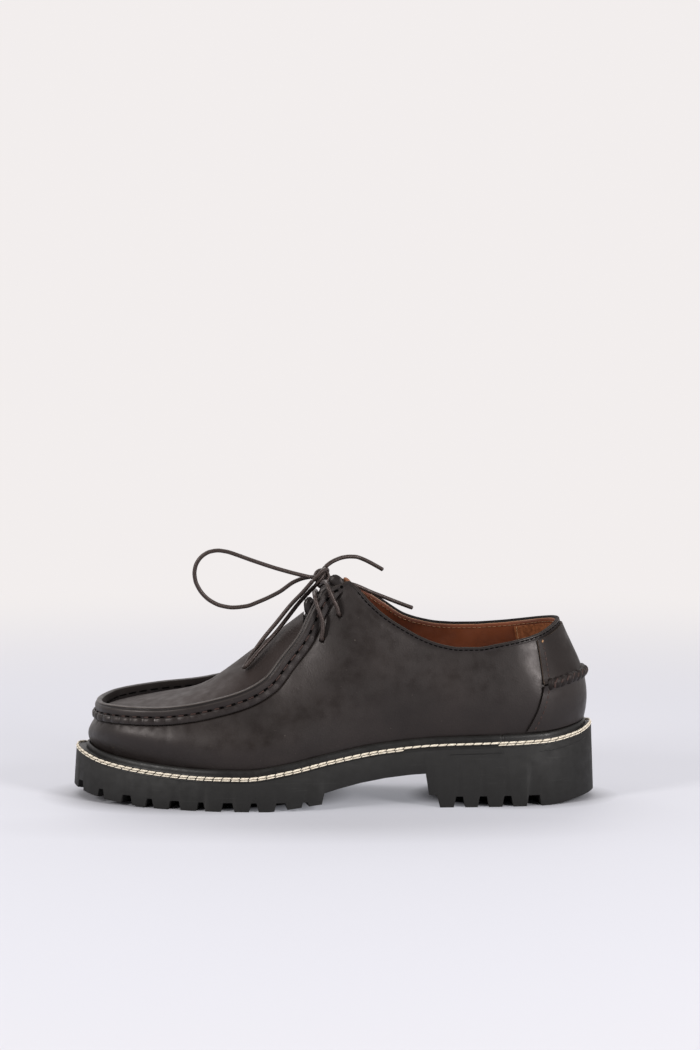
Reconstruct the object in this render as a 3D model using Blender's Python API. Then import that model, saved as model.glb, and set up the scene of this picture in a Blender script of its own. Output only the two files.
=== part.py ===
"""Left lace-up moccasin with a raised apron seam, a storm welt and a lugged rubber sole.

The shoe stands on its sole at z = 0 with the toe towards -X, the heel towards +X and the outer
(lateral) side towards -Y. Tables and sizes are in millimetres, and meshes are made in metres.

Every line that runs round the shoe is a function of psi, which goes from 0 at the toe along the
lateral side to 1 at the back of the heel, and on along the medial side to 2 at the toe again.
"""

import bpy
import bmesh
import numpy as np

MM = 0.001
GAP = 0.3

# Driving sizes
SOLE_LENGTH = 302.4
SOLE_FRONT = -SOLE_LENGTH / 2
SOLE_BACK = SOLE_LENGTH / 2
SOLE_DRAFT = 1.4
WELT_THICKNESS = 5.0
LIP_HEIGHT = 4.2
LIP_WIDTH = 2.2
UPPER_WALL = 2.4
LUG_DEPTH = 5.0
HEEL_LUG_DEPTH = 6.2
INSOLE_THICKNESS = 4.6
PANEL_THICKNESS = 1.3
TONGUE_THICKNESS = 1.8
LACE_DIAMETER = 2.4

# Outer edge of the sole seen from above: share of the length from the toe, lateral y, medial y
SOLE_OUTLINE = [
    (0.00, 9.0, 9.0),
    (0.02, -12.0, 28.0),
    (0.06, -26.0, 41.0),
    (0.12, -37.5, 49.5),
    (0.20, -47.0, 54.0),
    (0.30, -54.0, 55.0),
    (0.38, -55.0, 51.5),
    (0.48, -50.5, 45.0),
    (0.58, -44.5, 40.0),
    (0.68, -41.0, 38.0),
    (0.80, -39.0, 39.0),
    (0.90, -34.0, 36.0),
    (0.96, -23.0, 26.5),
    (1.00, 2.0, 2.0),
]

# Width of the welt outside the upper: share of the length from the toe, width
WELT_WIDTH = [(0.0, 8.6), (0.1, 7.6), (0.3, 6.6), (0.5, 6.0), (0.7, 5.4), (0.9, 5.6), (1.0, 6.2)]

# Side view of the sole: x, height of the welt's ledge
LEDGE = [
    (-151.0, 29.8),
    (-141.0, 26.0),
    (-130.0, 23.4),
    (-100.0, 20.0),
    (-75.0, 18.6),
    (-50.0, 18.4),
    (-25.0, 22.0),
    (0.0, 27.6),
    (30.0, 32.7),
    (60.0, 35.2),
    (90.0, 36.0),
    (120.0, 37.0),
    (140.0, 39.9),
    (151.0, 44.6),
]

# Side view of the tread: x, height of the lugs' ends over the floor
TREAD = [
    (-151.2, 6.6),
    (-130.0, 2.6),
    (-105.0, 0.4),
    (-86.0, 0.0),
    (60.0, 0.0),
    (118.0, 0.0),
    (151.2, 4.6),
]

# Side view of the arch, cut away between the forefoot's tread and the heel: x, z
ARCH = [
    (-42.0, -1.0),
    (-36.0, 0.0),
    (-22.0, 1.6),
    (-8.0, 3.8),
    (-6.5, 9.6),
    (4.0, 12.2),
    (16.0, 15.0),
    (30.0, 17.4),
    (44.0, 18.9),
    (52.5, 19.4),
    (56.5, 7.4),
    (60.2, 6.8),
    (62.4, -1.0),
]

# Seam, facing and collar line from above: x, lateral y, medial y
TOP_PLAN = [
    (-138.0, 8.0, 8.0),
    (-136.0, -8.0, 22.0),
    (-130.0, -20.0, 32.0),
    (-115.0, -31.0, 38.5),
    (-100.0, -35.5, 40.5),
    (-80.0, -38.5, 41.0),
    (-64.0, -38.5, 40.0),
    (-47.0, -37.0, 37.5),
    (-30.0, -33.0, 33.5),
    (-20.0, -29.8, 30.2),
    (-8.0, -26.0, 26.5),
    (4.0, -22.5, 23.0),
    (13.0, -20.8, 21.6),
    (25.0, -23.0, 24.5),
    (41.0, -27.0, 29.0),
    (69.0, -30.0, 32.5),
    (103.0, -28.0, 31.0),
    (117.0, -23.0, 26.5),
    (127.0, -12.5, 16.5),
    (131.0, 2.0, 2.0),
]

# The same line from the side: x, lateral z, medial z
TOP_SIDE = [
    (-138.0, 45.6, 45.6),
    (-130.0, 46.0, 47.2),
    (-102.0, 46.3, 51.0),
    (-80.0, 48.6, 53.2),
    (-64.0, 52.0, 56.2),
    (-47.0, 57.1, 60.4),
    (-32.0, 65.9, 68.2),
    (-22.0, 78.6, 80.0),
    (-11.0, 93.4, 93.6),
    (-3.0, 110.2, 107.4),
    (4.0, 120.0, 115.4),
    (8.5, 123.8, 118.4),
    (12.0, 121.6, 117.6),
    (16.0, 115.0, 114.0),
    (20.0, 110.4, 111.0),
    (28.0, 104.8, 105.6),
    (41.0, 95.3, 98.9),
    (69.0, 85.6, 94.2),
    (103.0, 89.3, 96.0),
    (117.0, 93.0, 98.0),
    (131.0, 101.0, 101.0),
]

# Fullness of the wall: q, push at the lower handle lateral and medial, push at the upper handle
FULLNESS = [
    (0.00, 3.4, 3.4, 3.6, 3.6),
    (0.15, 4.0, 4.0, 5.0, 5.0),
    (0.30, 4.4, 3.6, 7.0, 6.0),
    (0.45, 5.0, 3.0, 9.5, 9.0),
    (0.55, 5.0, 2.5, 10.0, 10.0),
    (0.70, 5.0, 4.0, 5.5, 6.0),
    (0.85, 6.0, 6.0, 5.0, 5.0),
    (1.00, 6.5, 6.5, 8.0, 8.0),
]
LOWER_HANDLE = 0.42
UPPER_HANDLE = 0.36

# Ridge along the apron's seam, from the foot of its sewn lip over the crest to the apron's edge:
# outward push, rise
RIDGE = [(1.5, 0.2), (1.3, 4.0), (-0.2, 4.7), (0.3, 6.8), (-0.9, 9.3), (-2.2, 10.2), (-3.6, 9.8), (-4.8, 7.6), (-5.6, 4.6)]
RIDGE_INNER_EDGE = (-5.2, 2.2)
# Rolled binding along the collar, with the same number of points
BINDING = [(0.6, 0.1), (0.8, 1.0), (0.8, 1.9), (0.5, 2.6), (0.0, 3.1), (-0.9, 3.3), (-1.8, 3.1), (-2.5, 2.4), (-2.8, 0.9)]
BINDING_INNER_EDGE = (-2.6, 0.4)
# How far the ridge has turned into the binding: x of the seam line, share
RIDGE_TO_BINDING = [(-138.0, 0.0), (-40.0, 0.0), (-14.0, 0.12), (3.0, 0.2), (7.5, 0.6), (11.0, 1.0), (131.0, 1.0)]

# Middle line of the apron, and of the tongue that goes on from it: x, z
SPINE = [
    (-133.0, 51.4),
    (-115.0, 55.2),
    (-100.0, 59.2),
    (-85.0, 64.4),
    (-67.0, 71.8),
    (-47.0, 85.0),
    (-30.0, 97.4),
    (-17.0, 107.4),
    (-5.0, 116.4),
    (6.0, 123.2),
    (14.0, 126.0),
]
APRON_END = -14.0
TONGUE_FRONT = -36.0
TONGUE_BACK = 6.5

# Heel panels: share of the wall's height, x of their front edge
PANEL_EDGE = [(0.0, 110.0), (0.25, 116.0), (0.5, 119.6), (0.8, 118.0), (1.0, 116.2)]
# Raised heel seam: x, z
HEEL_SEAM = [(100.0, 66.8), (120.0, 68.2), (140.0, 71.6), (150.0, 72.8)]
HEEL_SEAM_PROUD = 3.4

# Tread: places of the notches in from the sole's edge, and the channel behind them
FOREFOOT_NOTCH_X = (-15.2, -28.9, -44.3, -59.1, -74.4, -89.5, -104.1, -117.6, -133.0, -146.0)
FOREFOOT_NOTCH_WIDTHS = (3.0, 5.2)
HEEL_NOTCH_X = (72.0, 85.6, 99.6, 114.8)
HEEL_NOTCH_WIDTHS = (4.0, 4.0, 4.0, 6.4)
NOTCH_FLARE = 1.3
# Length of a notch: x, length
NOTCH_REACH = [(-151.2, 10.0), (-125.0, 13.0), (-100.0, 18.0), (151.2, 18.0)]
CHANNEL_WIDTH = 4.6
CHANNEL_INSET = 20.0
# Grooves across the middle of the tread
MIDDLE_GROOVE_X = (-112.0, -95.0, -78.0, -61.0, -44.0, -27.0, 82.0, 100.0)
MIDDLE_GROOVE_WIDTH = 4.2

# Stations round the shoe: psi of the stretch's end, steps in the stretch, for one side
STATIONS = [(0.10, 4), (0.38, 9), (0.60, 14), (0.90, 8), (1.00, 4)]
WALL_STEPS = 7
APRON_STEPS = 9

# The lace's knot, and the routes of its crossings, loops and ends: x, y, z
KNOT_CENTRE = (-7.0, -1.0, 128.2)
KNOT_RADII = (4.4, 3.8, 3.4)
LOWER_CROSSING = [
    (-6.2, -31.0, 95.4),
    (-5.7, -29.8, 100.0),
    (-5.8, -29.6, 104.6),
    (-6.9, -29.6, 108.8),
    (-8.4, -28.8, 112.6),
    (-10.2, -26.6, 118.6),
    (-10.6, -20.0, 120.4),
    (-10.6, -10.0, 118.8),
    (-10.6, 0.0, 117.4),
    (-10.6, 10.0, 117.4),
    (-10.4, 19.0, 117.2),
    (-9.8, 26.2, 115.4),
    (-8.4, 29.4, 111.2),
    (-6.9, 30.2, 107.6),
    (-5.8, 30.2, 103.6),
    (-5.7, 30.4, 99.4),
    (-6.2, 31.6, 95.0),
]
UPPER_CROSSING = [
    (3.7, -28.8, 109.1),
    (2.6, -27.8, 112.6),
    (0.6, -27.6, 116.8),
    (-2.4, -26.6, 123.4),
    (-4.2, -20.4, 126.6),
    (-6.0, -11.0, 125.0),
    (-6.8, 0.0, 122.9),
    (-6.2, 9.0, 122.6),
    (-4.2, 20.0, 122.6),
    (-2.4, 26.8, 119.4),
    (0.6, 28.2, 113.4),
    (2.6, 28.4, 109.6),
    (3.7, 29.4, 106.4),
]
LOOP_FRONT = [
    (-12.7, -4.2, 127.5),
    (-23.8, -6.0, 130.4),
    (-33.3, -7.0, 133.2),
    (-42.1, -8.0, 136.2),
    (-49.4, -8.5, 138.8),
    (-55.8, -9.0, 141.2),
    (-61.4, -9.0, 142.9),
    (-66.0, -9.0, 143.5),
    (-70.6, -9.0, 142.9),
    (-74.0, -9.0, 140.9),
    (-76.9, -9.0, 137.7),
    (-78.7, -9.0, 134.0),
    (-79.3, -8.5, 128.3),
    (-78.3, -8.0, 124.3),
    (-76.1, -7.5, 120.9),
    (-73.1, -7.0, 117.3),
    (-69.7, -6.5, 114.3),
    (-62.4, -5.5, 111.0),
    (-53.3, -4.0, 110.3),
    (-42.3, -2.5, 113.0),
    (-31.2, -1.0, 118.6),
    (-22.1, 0.5, 124.6),
    (-16.8, 1.2, 126.5),
    (-12.8, 1.4, 127.1),
]
LOOP_SIDE = [
    (-11.5, -7.5, 126.0),
    (-17.2, -9.0, 119.5),
    (-23.8, -10.0, 112.7),
    (-32.2, -11.0, 102.4),
    (-40.2, -12.0, 92.7),
    (-45.9, -13.5, 84.8),
    (-49.3, -16.2, 79.6),
    (-50.9, -18.2, 77.2),
    (-49.4, -20.0, 78.4),
    (-46.3, -19.0, 82.0),
    (-42.0, -16.5, 86.9),
    (-32.9, -11.0, 96.3),
    (-25.9, -8.5, 105.0),
    (-20.1, -7.5, 112.4),
    (-15.5, -6.5, 117.5),
    (-10.1, -5.5, 122.9),
]
END_UP = [
    (-4.6, -1.0, 133.0),
    (-0.9, 0.0, 135.9),
    (2.3, 1.0, 137.4),
    (5.6, 2.0, 138.4),
    (9.2, 3.0, 138.8),
    (12.9, 4.0, 138.6),
    (16.2, 5.0, 137.6),
    (19.4, 5.0, 136.2),
    (24.3, 5.0, 133.6),
    (29.1, 5.0, 130.8),
]
END_BACK = [
    (-1.5, 1.5, 126.2),
    (2.3, 3.0, 124.6),
    (6.3, 4.5, 123.4),
    (9.8, 5.5, 122.6),
    (13.9, 6.5, 121.3),
    (22.0, 8.5, 117.6),
    (29.6, 9.5, 114.5),
    (37.7, 10.5, 111.2),
    (46.5, 11.0, 107.9),
]
LACE_SIDES = 6
LACE_STEP = 4.5


def smooth(rows, column, at):
    """Monotone cubic curve through a table's column, by its first column."""
    x = np.array([row[0] for row in rows], float)
    y = np.array([row[column] for row in rows], float)
    step = np.diff(x)
    rise = np.diff(y) / step
    slope = np.zeros_like(y)
    turning = rise[:-1] * rise[1:] > 0
    before, after = 2 * step[1:] + step[:-1], step[1:] + 2 * step[:-1]
    inner = slope[1:-1]
    inner[turning] = ((before + after)[turning]) / (
        before[turning] / rise[:-1][turning] + after[turning] / rise[1:][turning]
    )
    slope[0] = end_slope(step[0], step[1], rise[0], rise[1])
    slope[-1] = end_slope(step[-1], step[-2], rise[-1], rise[-2])
    at = np.clip(np.asarray(at, float), x[0], x[-1])
    i = np.clip(np.searchsorted(x, at, side="right") - 1, 0, len(x) - 2)
    t = (at - x[i]) / step[i]
    return (
        (2 * t**3 - 3 * t**2 + 1) * y[i]
        + (t**3 - 2 * t**2 + t) * step[i] * slope[i]
        + (3 * t**2 - 2 * t**3) * y[i + 1]
        + (t**3 - t**2) * step[i] * slope[i + 1]
    )


def end_slope(step, next_step, rise, next_rise):
    """Slope of the monotone cubic at the end of a table."""
    slope = ((2 * step + next_step) * rise - step * next_rise) / (step + next_step)
    if slope * rise <= 0:
        return 0.0
    if rise * next_rise <= 0 and abs(slope) > abs(3 * rise):
        return 3 * rise
    return slope


def round_ended(rows, front, back):
    """The table with its first column, a place along the shoe, changed to q, which makes both ends round."""
    shares = [(row[0] - front) / (back - front) for row in rows]
    return [(np.arccos(1 - 2 * share) / np.pi, *row[1:]) for share, row in zip(shares, rows)]


SOLE_BY_Q = round_ended(SOLE_OUTLINE, 0.0, 1.0)
WELT_BY_Q = round_ended(WELT_WIDTH, 0.0, 1.0)
TOP_FRONT, TOP_BACK = TOP_PLAN[0][0], TOP_PLAN[-1][0]
TOP_BY_Q = round_ended(TOP_PLAN, TOP_FRONT, TOP_BACK)


def q_of(psi):
    psi = np.mod(psi, 2.0)
    return np.where(psi <= 1, psi, 2 - psi)


def by_side(rows, columns, psi, at):
    """The table's lateral or medial column, whichever side psi is on."""
    lateral, medial = columns
    return np.where(np.mod(psi, 2.0) <= 1, smooth(rows, lateral, at), smooth(rows, medial, at))


def plan(rows, front, back, psi):
    """Point (x, y) of a round-ended outline."""
    q = q_of(psi)
    x = front + (back - front) * (1 - np.cos(np.pi * q)) / 2
    return np.stack([x, by_side(rows, (1, 2), psi, q)], -1)


def outward(line, psi, step=0.004):
    """Unit normal, in the floor's plane, that points out of a line round the shoe."""
    along = line(psi + step) - line(psi - step)
    normal = np.stack([along[..., 1], -along[..., 0]], -1)
    return normal / np.linalg.norm(normal, axis=-1, keepdims=True)


def sole_edge(psi, inset=0.0):
    def edge(at):
        return plan(SOLE_BY_Q, SOLE_FRONT, SOLE_BACK, at)

    psi = np.asarray(psi, float)
    return edge(psi) - outward(edge, psi) * np.asarray(inset)[..., None]


def feather(psi, inset=0.0):
    """Line on the floor's plane where the upper's wall meets the welt."""
    return sole_edge(psi, SOLE_DRAFT + smooth(WELT_BY_Q, 1, q_of(psi)) + inset)


def ledge_height(x):
    return smooth(LEDGE, 1, x)


def sole_top(x):
    return ledge_height(x) - WELT_THICKNESS - GAP


def with_height(points, heights):
    return np.concatenate([points, np.asarray(heights)[..., None]], -1)


def wall_foot(psi):
    """Where the wall leaves the welt's lip."""
    points = feather(psi)
    return with_height(points, ledge_height(points[..., 0]) + LIP_HEIGHT)


def top_line(psi):
    """Lower edge of the apron's sewn lip and of the collar's binding."""
    psi = np.asarray(psi, float)
    points = plan(TOP_BY_Q, TOP_FRONT, TOP_BACK, psi)
    return with_height(points, by_side(TOP_SIDE, (1, 2), psi, points[..., 0]))


def wall(psi, share):
    """Outer surface of the upper's wall: share 0 at the welt's lip and 1 at the top line."""
    psi, share = np.broadcast_arrays(np.asarray(psi, float), np.asarray(share, float))
    foot, top = wall_foot(psi), top_line(psi)
    q = q_of(psi)
    rise = (top - foot)[..., 2]
    lower, upper = foot.copy(), top.copy()
    lower[..., :2] += outward(feather, psi) * by_side(FULLNESS, (1, 2), psi, q)[..., None]
    lower[..., 2] += LOWER_HANDLE * rise
    upper[..., :2] += outward(top_line, psi)[..., :2] * by_side(FULLNESS, (3, 4), psi, q)[..., None]
    upper[..., 2] -= UPPER_HANDLE * rise
    t = share[..., None]
    return (1 - t) ** 3 * foot + 3 * (1 - t) ** 2 * t * lower + 3 * (1 - t) * t**2 * upper + t**3 * top


def wall_normal(psi, share, step=0.003):
    psi, share = np.broadcast_arrays(np.asarray(psi, float), np.asarray(share, float))
    low, high = np.clip(share - step, 0, 1), np.clip(share + step, 0, 1)
    along = wall(psi + step, share) - wall(psi - step, share)
    up = wall(psi, high) - wall(psi, low)
    normal = np.cross(along, up)
    return normal / np.linalg.norm(normal, axis=-1, keepdims=True)


def share_at_height(psi, height, samples=60):
    """Share of the wall where it reaches a height, for each psi."""
    shares = np.linspace(0, 1, samples)
    heights = wall(np.asarray(psi)[:, None], shares[None, :])[..., 2]
    return np.array([np.interp(h, column, shares) for h, column in zip(height, heights)])


def top_frame(psi, step=0.004):
    """The top line's point, its outward normal, and the way its ridge rises."""
    along = top_line(psi + step) - top_line(psi - step)
    along /= np.linalg.norm(along, axis=-1, keepdims=True)
    out = with_height(outward(top_line, psi)[..., :2], np.zeros(np.shape(psi)))
    return top_line(psi), out, np.cross(out, along)


def edge_point(psi, ridge, binding):
    """A point of the ridge's or binding's section on the top line."""
    base, out, up = top_frame(psi)
    turned = smooth(RIDGE_TO_BINDING, 1, base[..., 0])[..., None]
    push = ridge[0] * (1 - turned) + binding[0] * turned
    rise = ridge[1] * (1 - turned) + binding[1] * turned
    return base + out * push + up * rise


def stations():
    """psi of each station along one side, denser at the toe, throat and heel."""
    found = [0.0]
    for end, steps in STATIONS:
        found.extend(np.linspace(found[-1], end, steps + 1)[1:])
    return np.array(found)


SIDE = stations()
RING = np.concatenate([SIDE, 2 - SIDE[-2:0:-1]])


def opposite(i):
    """Index in the ring of the medial station across from lateral station i."""
    return (len(RING) - i) % len(RING)


class Solid:
    """Points and faces of one closed mesh, gathered row by row."""

    def __init__(self):
        self.points = []
        self.faces = []

    def row(self, points):
        """Adds points and returns their indices."""
        first = len(self.points)
        self.points.extend(np.asarray(points, float).tolist())
        return list(range(first, len(self.points)))

    def band(self, a, b, closed=True):
        """Quads between two rows of equal length."""
        for i in range(len(a) if closed else len(a) - 1):
            j = (i + 1) % len(a)
            self.faces.append([a[i], a[j], b[j], b[i]])

    def lid(self, ring):
        """Strips across a closed ring of stations, from the lateral to the medial side."""
        last = len(SIDE) - 1
        self.faces.append([ring[0], ring[1], ring[opposite(1)]])
        for i in range(1, last - 1):
            self.faces.append([ring[i], ring[i + 1], ring[opposite(i + 1)], ring[opposite(i)]])
        self.faces.append([ring[last - 1], ring[last], ring[opposite(last - 1)]])

    def build(self, name, material, parent, sharp_angle=35.0):
        mesh = bpy.data.meshes.new(name)
        mesh.from_pydata((np.array(self.points) * MM).tolist(), [], self.faces)
        edit = bmesh.new()
        edit.from_mesh(mesh)
        bmesh.ops.recalc_face_normals(edit, faces=edit.faces)
        edit.to_mesh(mesh)
        edit.free()
        mesh.shade_smooth()
        mesh.set_sharp_from_angle(angle=np.radians(sharp_angle))
        return place(bpy.data.objects.new(name, mesh), material, parent)


def place(obj, material, parent):
    bpy.context.scene.collection.objects.link(obj)
    if material is not None:
        obj.data.materials.append(material)
    obj.parent = parent
    return obj


def finish_material(name, colour, roughness):
    """Principled material with a plain colour."""
    material = bpy.data.materials.new(name)
    material.use_nodes = True
    shader = material.node_tree.nodes["Principled BSDF"]
    shader.inputs["Base Color"].default_value = (*colour, 1.0)
    shader.inputs["Roughness"].default_value = roughness
    shader.inputs["Metallic"].default_value = 0.0
    return material


def cutter(solid, name, target, parent):
    """Takes a solid out of the target."""
    tool = solid.build(name, None, parent)
    tool.hide_render = True
    tool.display_type = "WIRE"
    cut = target.modifiers.new(name, "BOOLEAN")
    cut.operation = "DIFFERENCE"
    cut.object = tool


def prism(solid, outline, low, high):
    """Adds an upright prism on a closed plan outline, with heights given at each corner."""
    a = solid.row(with_height(outline, low))
    b = solid.row(with_height(outline, high))
    solid.band(a, b)
    solid.faces.append(a[::-1])
    solid.faces.append(b)


def tread_height(x):
    return smooth(TREAD, 1, x)


def notch(solid, psi, width, depth):
    """Adds one flared cutter that runs in from the sole's edge."""
    edge = sole_edge(np.array([psi]))[0]
    out = outward(lambda at: sole_edge(at), np.array([psi]))[0]
    across = np.array([-out[1], out[0]])
    root = tread_height(edge[0]) + depth
    ends = (edge + out * 4.0, edge - out * smooth(NOTCH_REACH, 1, edge[0]))
    rows = []
    for half, height in ((width / 2 + NOTCH_FLARE * 1.6, root - depth * 1.6), (width / 2, root)):
        corners = [ends[0] - across * half, ends[0] + across * half, ends[1] + across * half, ends[1] - across * half]
        rows.append(solid.row(with_height(np.array(corners), np.full(4, height))))
    solid.band(*rows)
    solid.faces.append(rows[0][::-1])
    solid.faces.append(rows[1])


def edge_psi(places, first, last):
    """psi on both sides of the sole's edge for places along x, within a stretch of the lateral side."""
    psi = np.linspace(first, last, 1200)
    lateral = np.interp(places, sole_edge(psi)[:, 0], psi)
    medial = np.interp(places, sole_edge(2 - psi)[:, 0], psi)
    return lateral, 2 - medial


def channel(solid, psi, depth, inset):
    """Adds a groove that follows the sole's edge, at an inset, along a run of psi."""
    far = sole_edge(psi, np.full(len(psi), inset + CHANNEL_WIDTH))
    near = sole_edge(psi, np.full(len(psi), inset))
    outline = np.concatenate([near, far[::-1]])
    root = tread_height(outline[:, 0]) + depth
    prism(solid, outline, root - depth * 1.6, root)


def make_outsole(material, parent):
    """Moulded rubber sole and heel: draughted sides, arch and lugs."""
    body = Solid()
    edge = sole_edge(RING)
    low = body.row(with_height(edge, tread_height(edge[:, 0])))
    top_edge = sole_edge(RING, np.full(len(RING), SOLE_DRAFT))
    high = body.row(with_height(top_edge, sole_top(top_edge[:, 0])))
    body.band(low, high)
    body.lid(low)
    body.lid(high)
    outsole = body.build("outsole", material, parent)

    arch = Solid()
    for side in (-80.0, 80.0):
        arch.row([(x, side, z) for x, z in ARCH])
    count = len(ARCH)
    near, far = list(range(count)), list(range(count, 2 * count))
    arch.band(near, far)
    arch.faces.extend([near[::-1], far])
    cutter(arch, "arch_cutter", outsole, parent)

    notches = Solid()
    for side in edge_psi(FOREFOOT_NOTCH_X, 0.0, 0.6):
        for k, psi in enumerate(side):
            notch(notches, psi, FOREFOOT_NOTCH_WIDTHS[k % 2], LUG_DEPTH)
    for side in edge_psi(HEEL_NOTCH_X, 0.5, 1.0):
        for psi, width in zip(side, HEEL_NOTCH_WIDTHS):
            notch(notches, psi, width, HEEL_LUG_DEPTH)
    cutter(notches, "notch_cutter", outsole, parent)

    channels = Solid()
    channel(channels, np.linspace(0.46, -0.46, 41), LUG_DEPTH, CHANNEL_INSET)
    channel(channels, np.linspace(0.66, 1.34, 31), HEEL_LUG_DEPTH, CHANNEL_INSET)
    cutter(channels, "channel_cutter", outsole, parent)

    grooves = Solid()
    for x in MIDDLE_GROOVE_X:
        lateral, medial = edge_psi([x], 0.0, 1.0)
        inset = np.array([CHANNEL_INSET + CHANNEL_WIDTH / 2])
        low, high = sole_edge(lateral, inset)[0, 1], sole_edge(medial, inset)[0, 1]
        half = MIDDLE_GROOVE_WIDTH / 2
        outline = np.array([(x - half, low), (x + half, low), (x + half, high), (x - half, high)])
        depth = LUG_DEPTH if x < 0 else HEEL_LUG_DEPTH
        root = tread_height(x) + depth
        prism(grooves, outline, np.full(4, root - depth * 1.6), np.full(4, root))
    cutter(grooves, "middle_cutter", outsole, parent)
    return outsole


def make_welt(material, parent):
    """Storm welt: a ledge for the welt stitch and a lip against the upper."""
    inner = feather(RING, -GAP)
    outer = sole_edge(RING, np.full(len(RING), SOLE_DRAFT))
    out = outward(feather, RING)
    width = np.linalg.norm(outer - inner, axis=1)
    section = [
        (width, -WELT_THICKNESS),
        (width, -0.5),
        (width - 0.6, 0.0),
        (np.full(len(RING), LIP_WIDTH + 0.3), 0.0),
        (np.full(len(RING), LIP_WIDTH), LIP_HEIGHT - 1.0),
        (np.full(len(RING), LIP_WIDTH - 0.9), LIP_HEIGHT - 0.2),
        (np.zeros(len(RING)), LIP_HEIGHT - 0.2),
        (np.zeros(len(RING)), -WELT_THICKNESS),
    ]
    welt = Solid()
    rows = []
    for push, height in section:
        points = inner + out * push[:, None]
        rows.append(welt.row(with_height(points, ledge_height(points[:, 0]) + height)))
    for a, b in zip(rows, rows[1:] + rows[:1]):
        welt.band(a, b)
    return welt.build("welt", material, parent)


def apron_row(i, border, drop):
    """Points across the apron at lateral station i, between the ridges' inner edges, without its ends."""
    lateral, medial = border[i], border[opposite(i)]
    share = np.linspace(0, 1, APRON_STEPS + 1)[1:-1, None]
    points = lateral + (medial - lateral) * share
    middle = (lateral + medial) / 2
    crown = smooth(SPINE, 1, middle[0]) - drop - middle[2]
    points[:, 2] += crown * (1 - (2 * share[:, 0] - 1) ** 2)
    return points


def make_upper(material, parent):
    """Leather upper, one hollow wall: open below, at the throat and at the collar."""
    upper = Solid()
    foot = wall_foot(RING)
    skirt = foot.copy()
    skirt[:, 2] = sole_top(feather(RING)[:, 0]) + GAP
    shares = np.linspace(0, 1, WALL_STEPS + 1)
    outer = [upper.row(skirt)] + [upper.row(wall(RING, share)) for share in shares]
    edge_rows = [edge_point(RING, ridge, binding) for ridge, binding in zip(RIDGE, BINDING)]
    outer += [upper.row(points) for points in edge_rows]

    hollow = -UPPER_WALL
    inner_skirt = with_height(feather(RING, UPPER_WALL), skirt[:, 2])
    inner = [upper.row(inner_skirt)]
    inner += [upper.row(wall(RING, share) + hollow * wall_normal(RING, share)) for share in shares]
    inner_edge = edge_point(RING, RIDGE_INNER_EDGE, BINDING_INNER_EDGE)
    inner.append(upper.row(inner_edge))

    for rows in (outer, inner):
        for a, b in zip(rows, rows[1:]):
            upper.band(a, b)
    upper.band(outer[0], inner[0])

    end = int(np.argmax(top_line(SIDE)[:, 0] > APRON_END))
    sheets = []
    for border, ring, drop in ((edge_rows[-1], outer[-1], 0.0), (inner_edge, inner[-1], UPPER_WALL)):
        rows = [[ring[0]] * (APRON_STEPS + 1)]
        for i in range(1, end + 1):
            rows.append([ring[i], *upper.row(apron_row(i, border, drop)), ring[opposite(i)]])
        for k in range(APRON_STEPS):
            upper.faces.append([rows[0][k], rows[1][k], rows[1][k + 1]])
        for a, b in zip(rows[1:], rows[2:]):
            upper.band(a, b, closed=False)
        sheets.append(rows[-1])
    upper.band(*sheets, closed=False)
    rim = list(range(end, len(RING) - end + 1))
    upper.band([outer[-1][i] for i in rim], [inner[-1][i] for i in rim], closed=False)
    return upper.build("upper", material, parent)


def make_heel_panel(name, material, parent, low, high, seam_end):
    """Panel round the back of the heel, with the edge at the raised seam turned out."""
    columns, rows = 17, 6
    panel = Solid()
    grids = []
    across = np.linspace(-1, 1, columns)
    for inner in (True, False):
        grid = []
        for share_up in np.linspace(0, 1, rows):
            psi = 1 + across * 0.2
            for _ in range(4):
                height = low(psi) + (high(psi) - low(psi)) * share_up
                share = share_at_height(psi, height)
                front = smooth(PANEL_EDGE, 1, share[0])
                psi = 1 + across * (1 - front_psi(front, share[0]))
            height = low(psi) + (high(psi) - low(psi)) * share_up
            share = share_at_height(psi, height)
            to_seam = share_up if seam_end == 1 else 1 - share_up
            turn_out = max(0.0, (to_seam - 0.72) / 0.28) ** 2 * (HEEL_SEAM_PROUD - PANEL_THICKNESS)
            offset = GAP + turn_out + (0.0 if inner else PANEL_THICKNESS)
            grid.append(panel.row(wall(psi, share) + wall_normal(psi, share) * offset))
        grids.append(grid)
    for grid in grids:
        for a, b in zip(grid, grid[1:]):
            panel.band(a, b, closed=False)
    for a, b in ((grids[0][0], grids[1][0]), (grids[0][-1], grids[1][-1])):
        panel.band(a, b, closed=False)
    for k in (0, -1):
        panel.band([row[k] for row in grids[0]], [row[k] for row in grids[1]], closed=False)
    return panel.build(name, material, parent)


def front_psi(x, share):
    """psi on the lateral side where the wall, at a share of its height, has this x."""
    psi = np.linspace(0.6, 1.0, 120)
    return np.interp(x, wall(psi, np.full(len(psi), share))[:, 0], psi)


def make_heel_panels(material, parent):
    def foot(psi):
        return wall_foot(psi)[:, 2] + 1.4

    def seam(psi, side):
        return smooth(HEEL_SEAM, 1, wall(psi, np.full(len(psi), 0.5))[:, 0]) + side * 0.5

    def top(psi):
        return top_line(psi)[:, 2] - 0.6

    make_heel_panel("heel_panel_lower", material, parent, foot, lambda psi: seam(psi, -1), 1)
    make_heel_panel("heel_panel_upper", material, parent, lambda psi: seam(psi, 1), top, 0)


def make_insole(material, parent):
    """Flat footbed inside the upper, over the sole."""
    insole = Solid()
    outline = feather(RING, UPPER_WALL + 2 * GAP)
    base = sole_top(outline[:, 0]) + GAP
    low = insole.row(with_height(outline, base))
    high = insole.row(with_height(outline, base + INSOLE_THICKNESS))
    insole.band(low, high)
    insole.lid(low)
    insole.lid(high)
    return insole.build("insole", material, parent)


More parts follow.
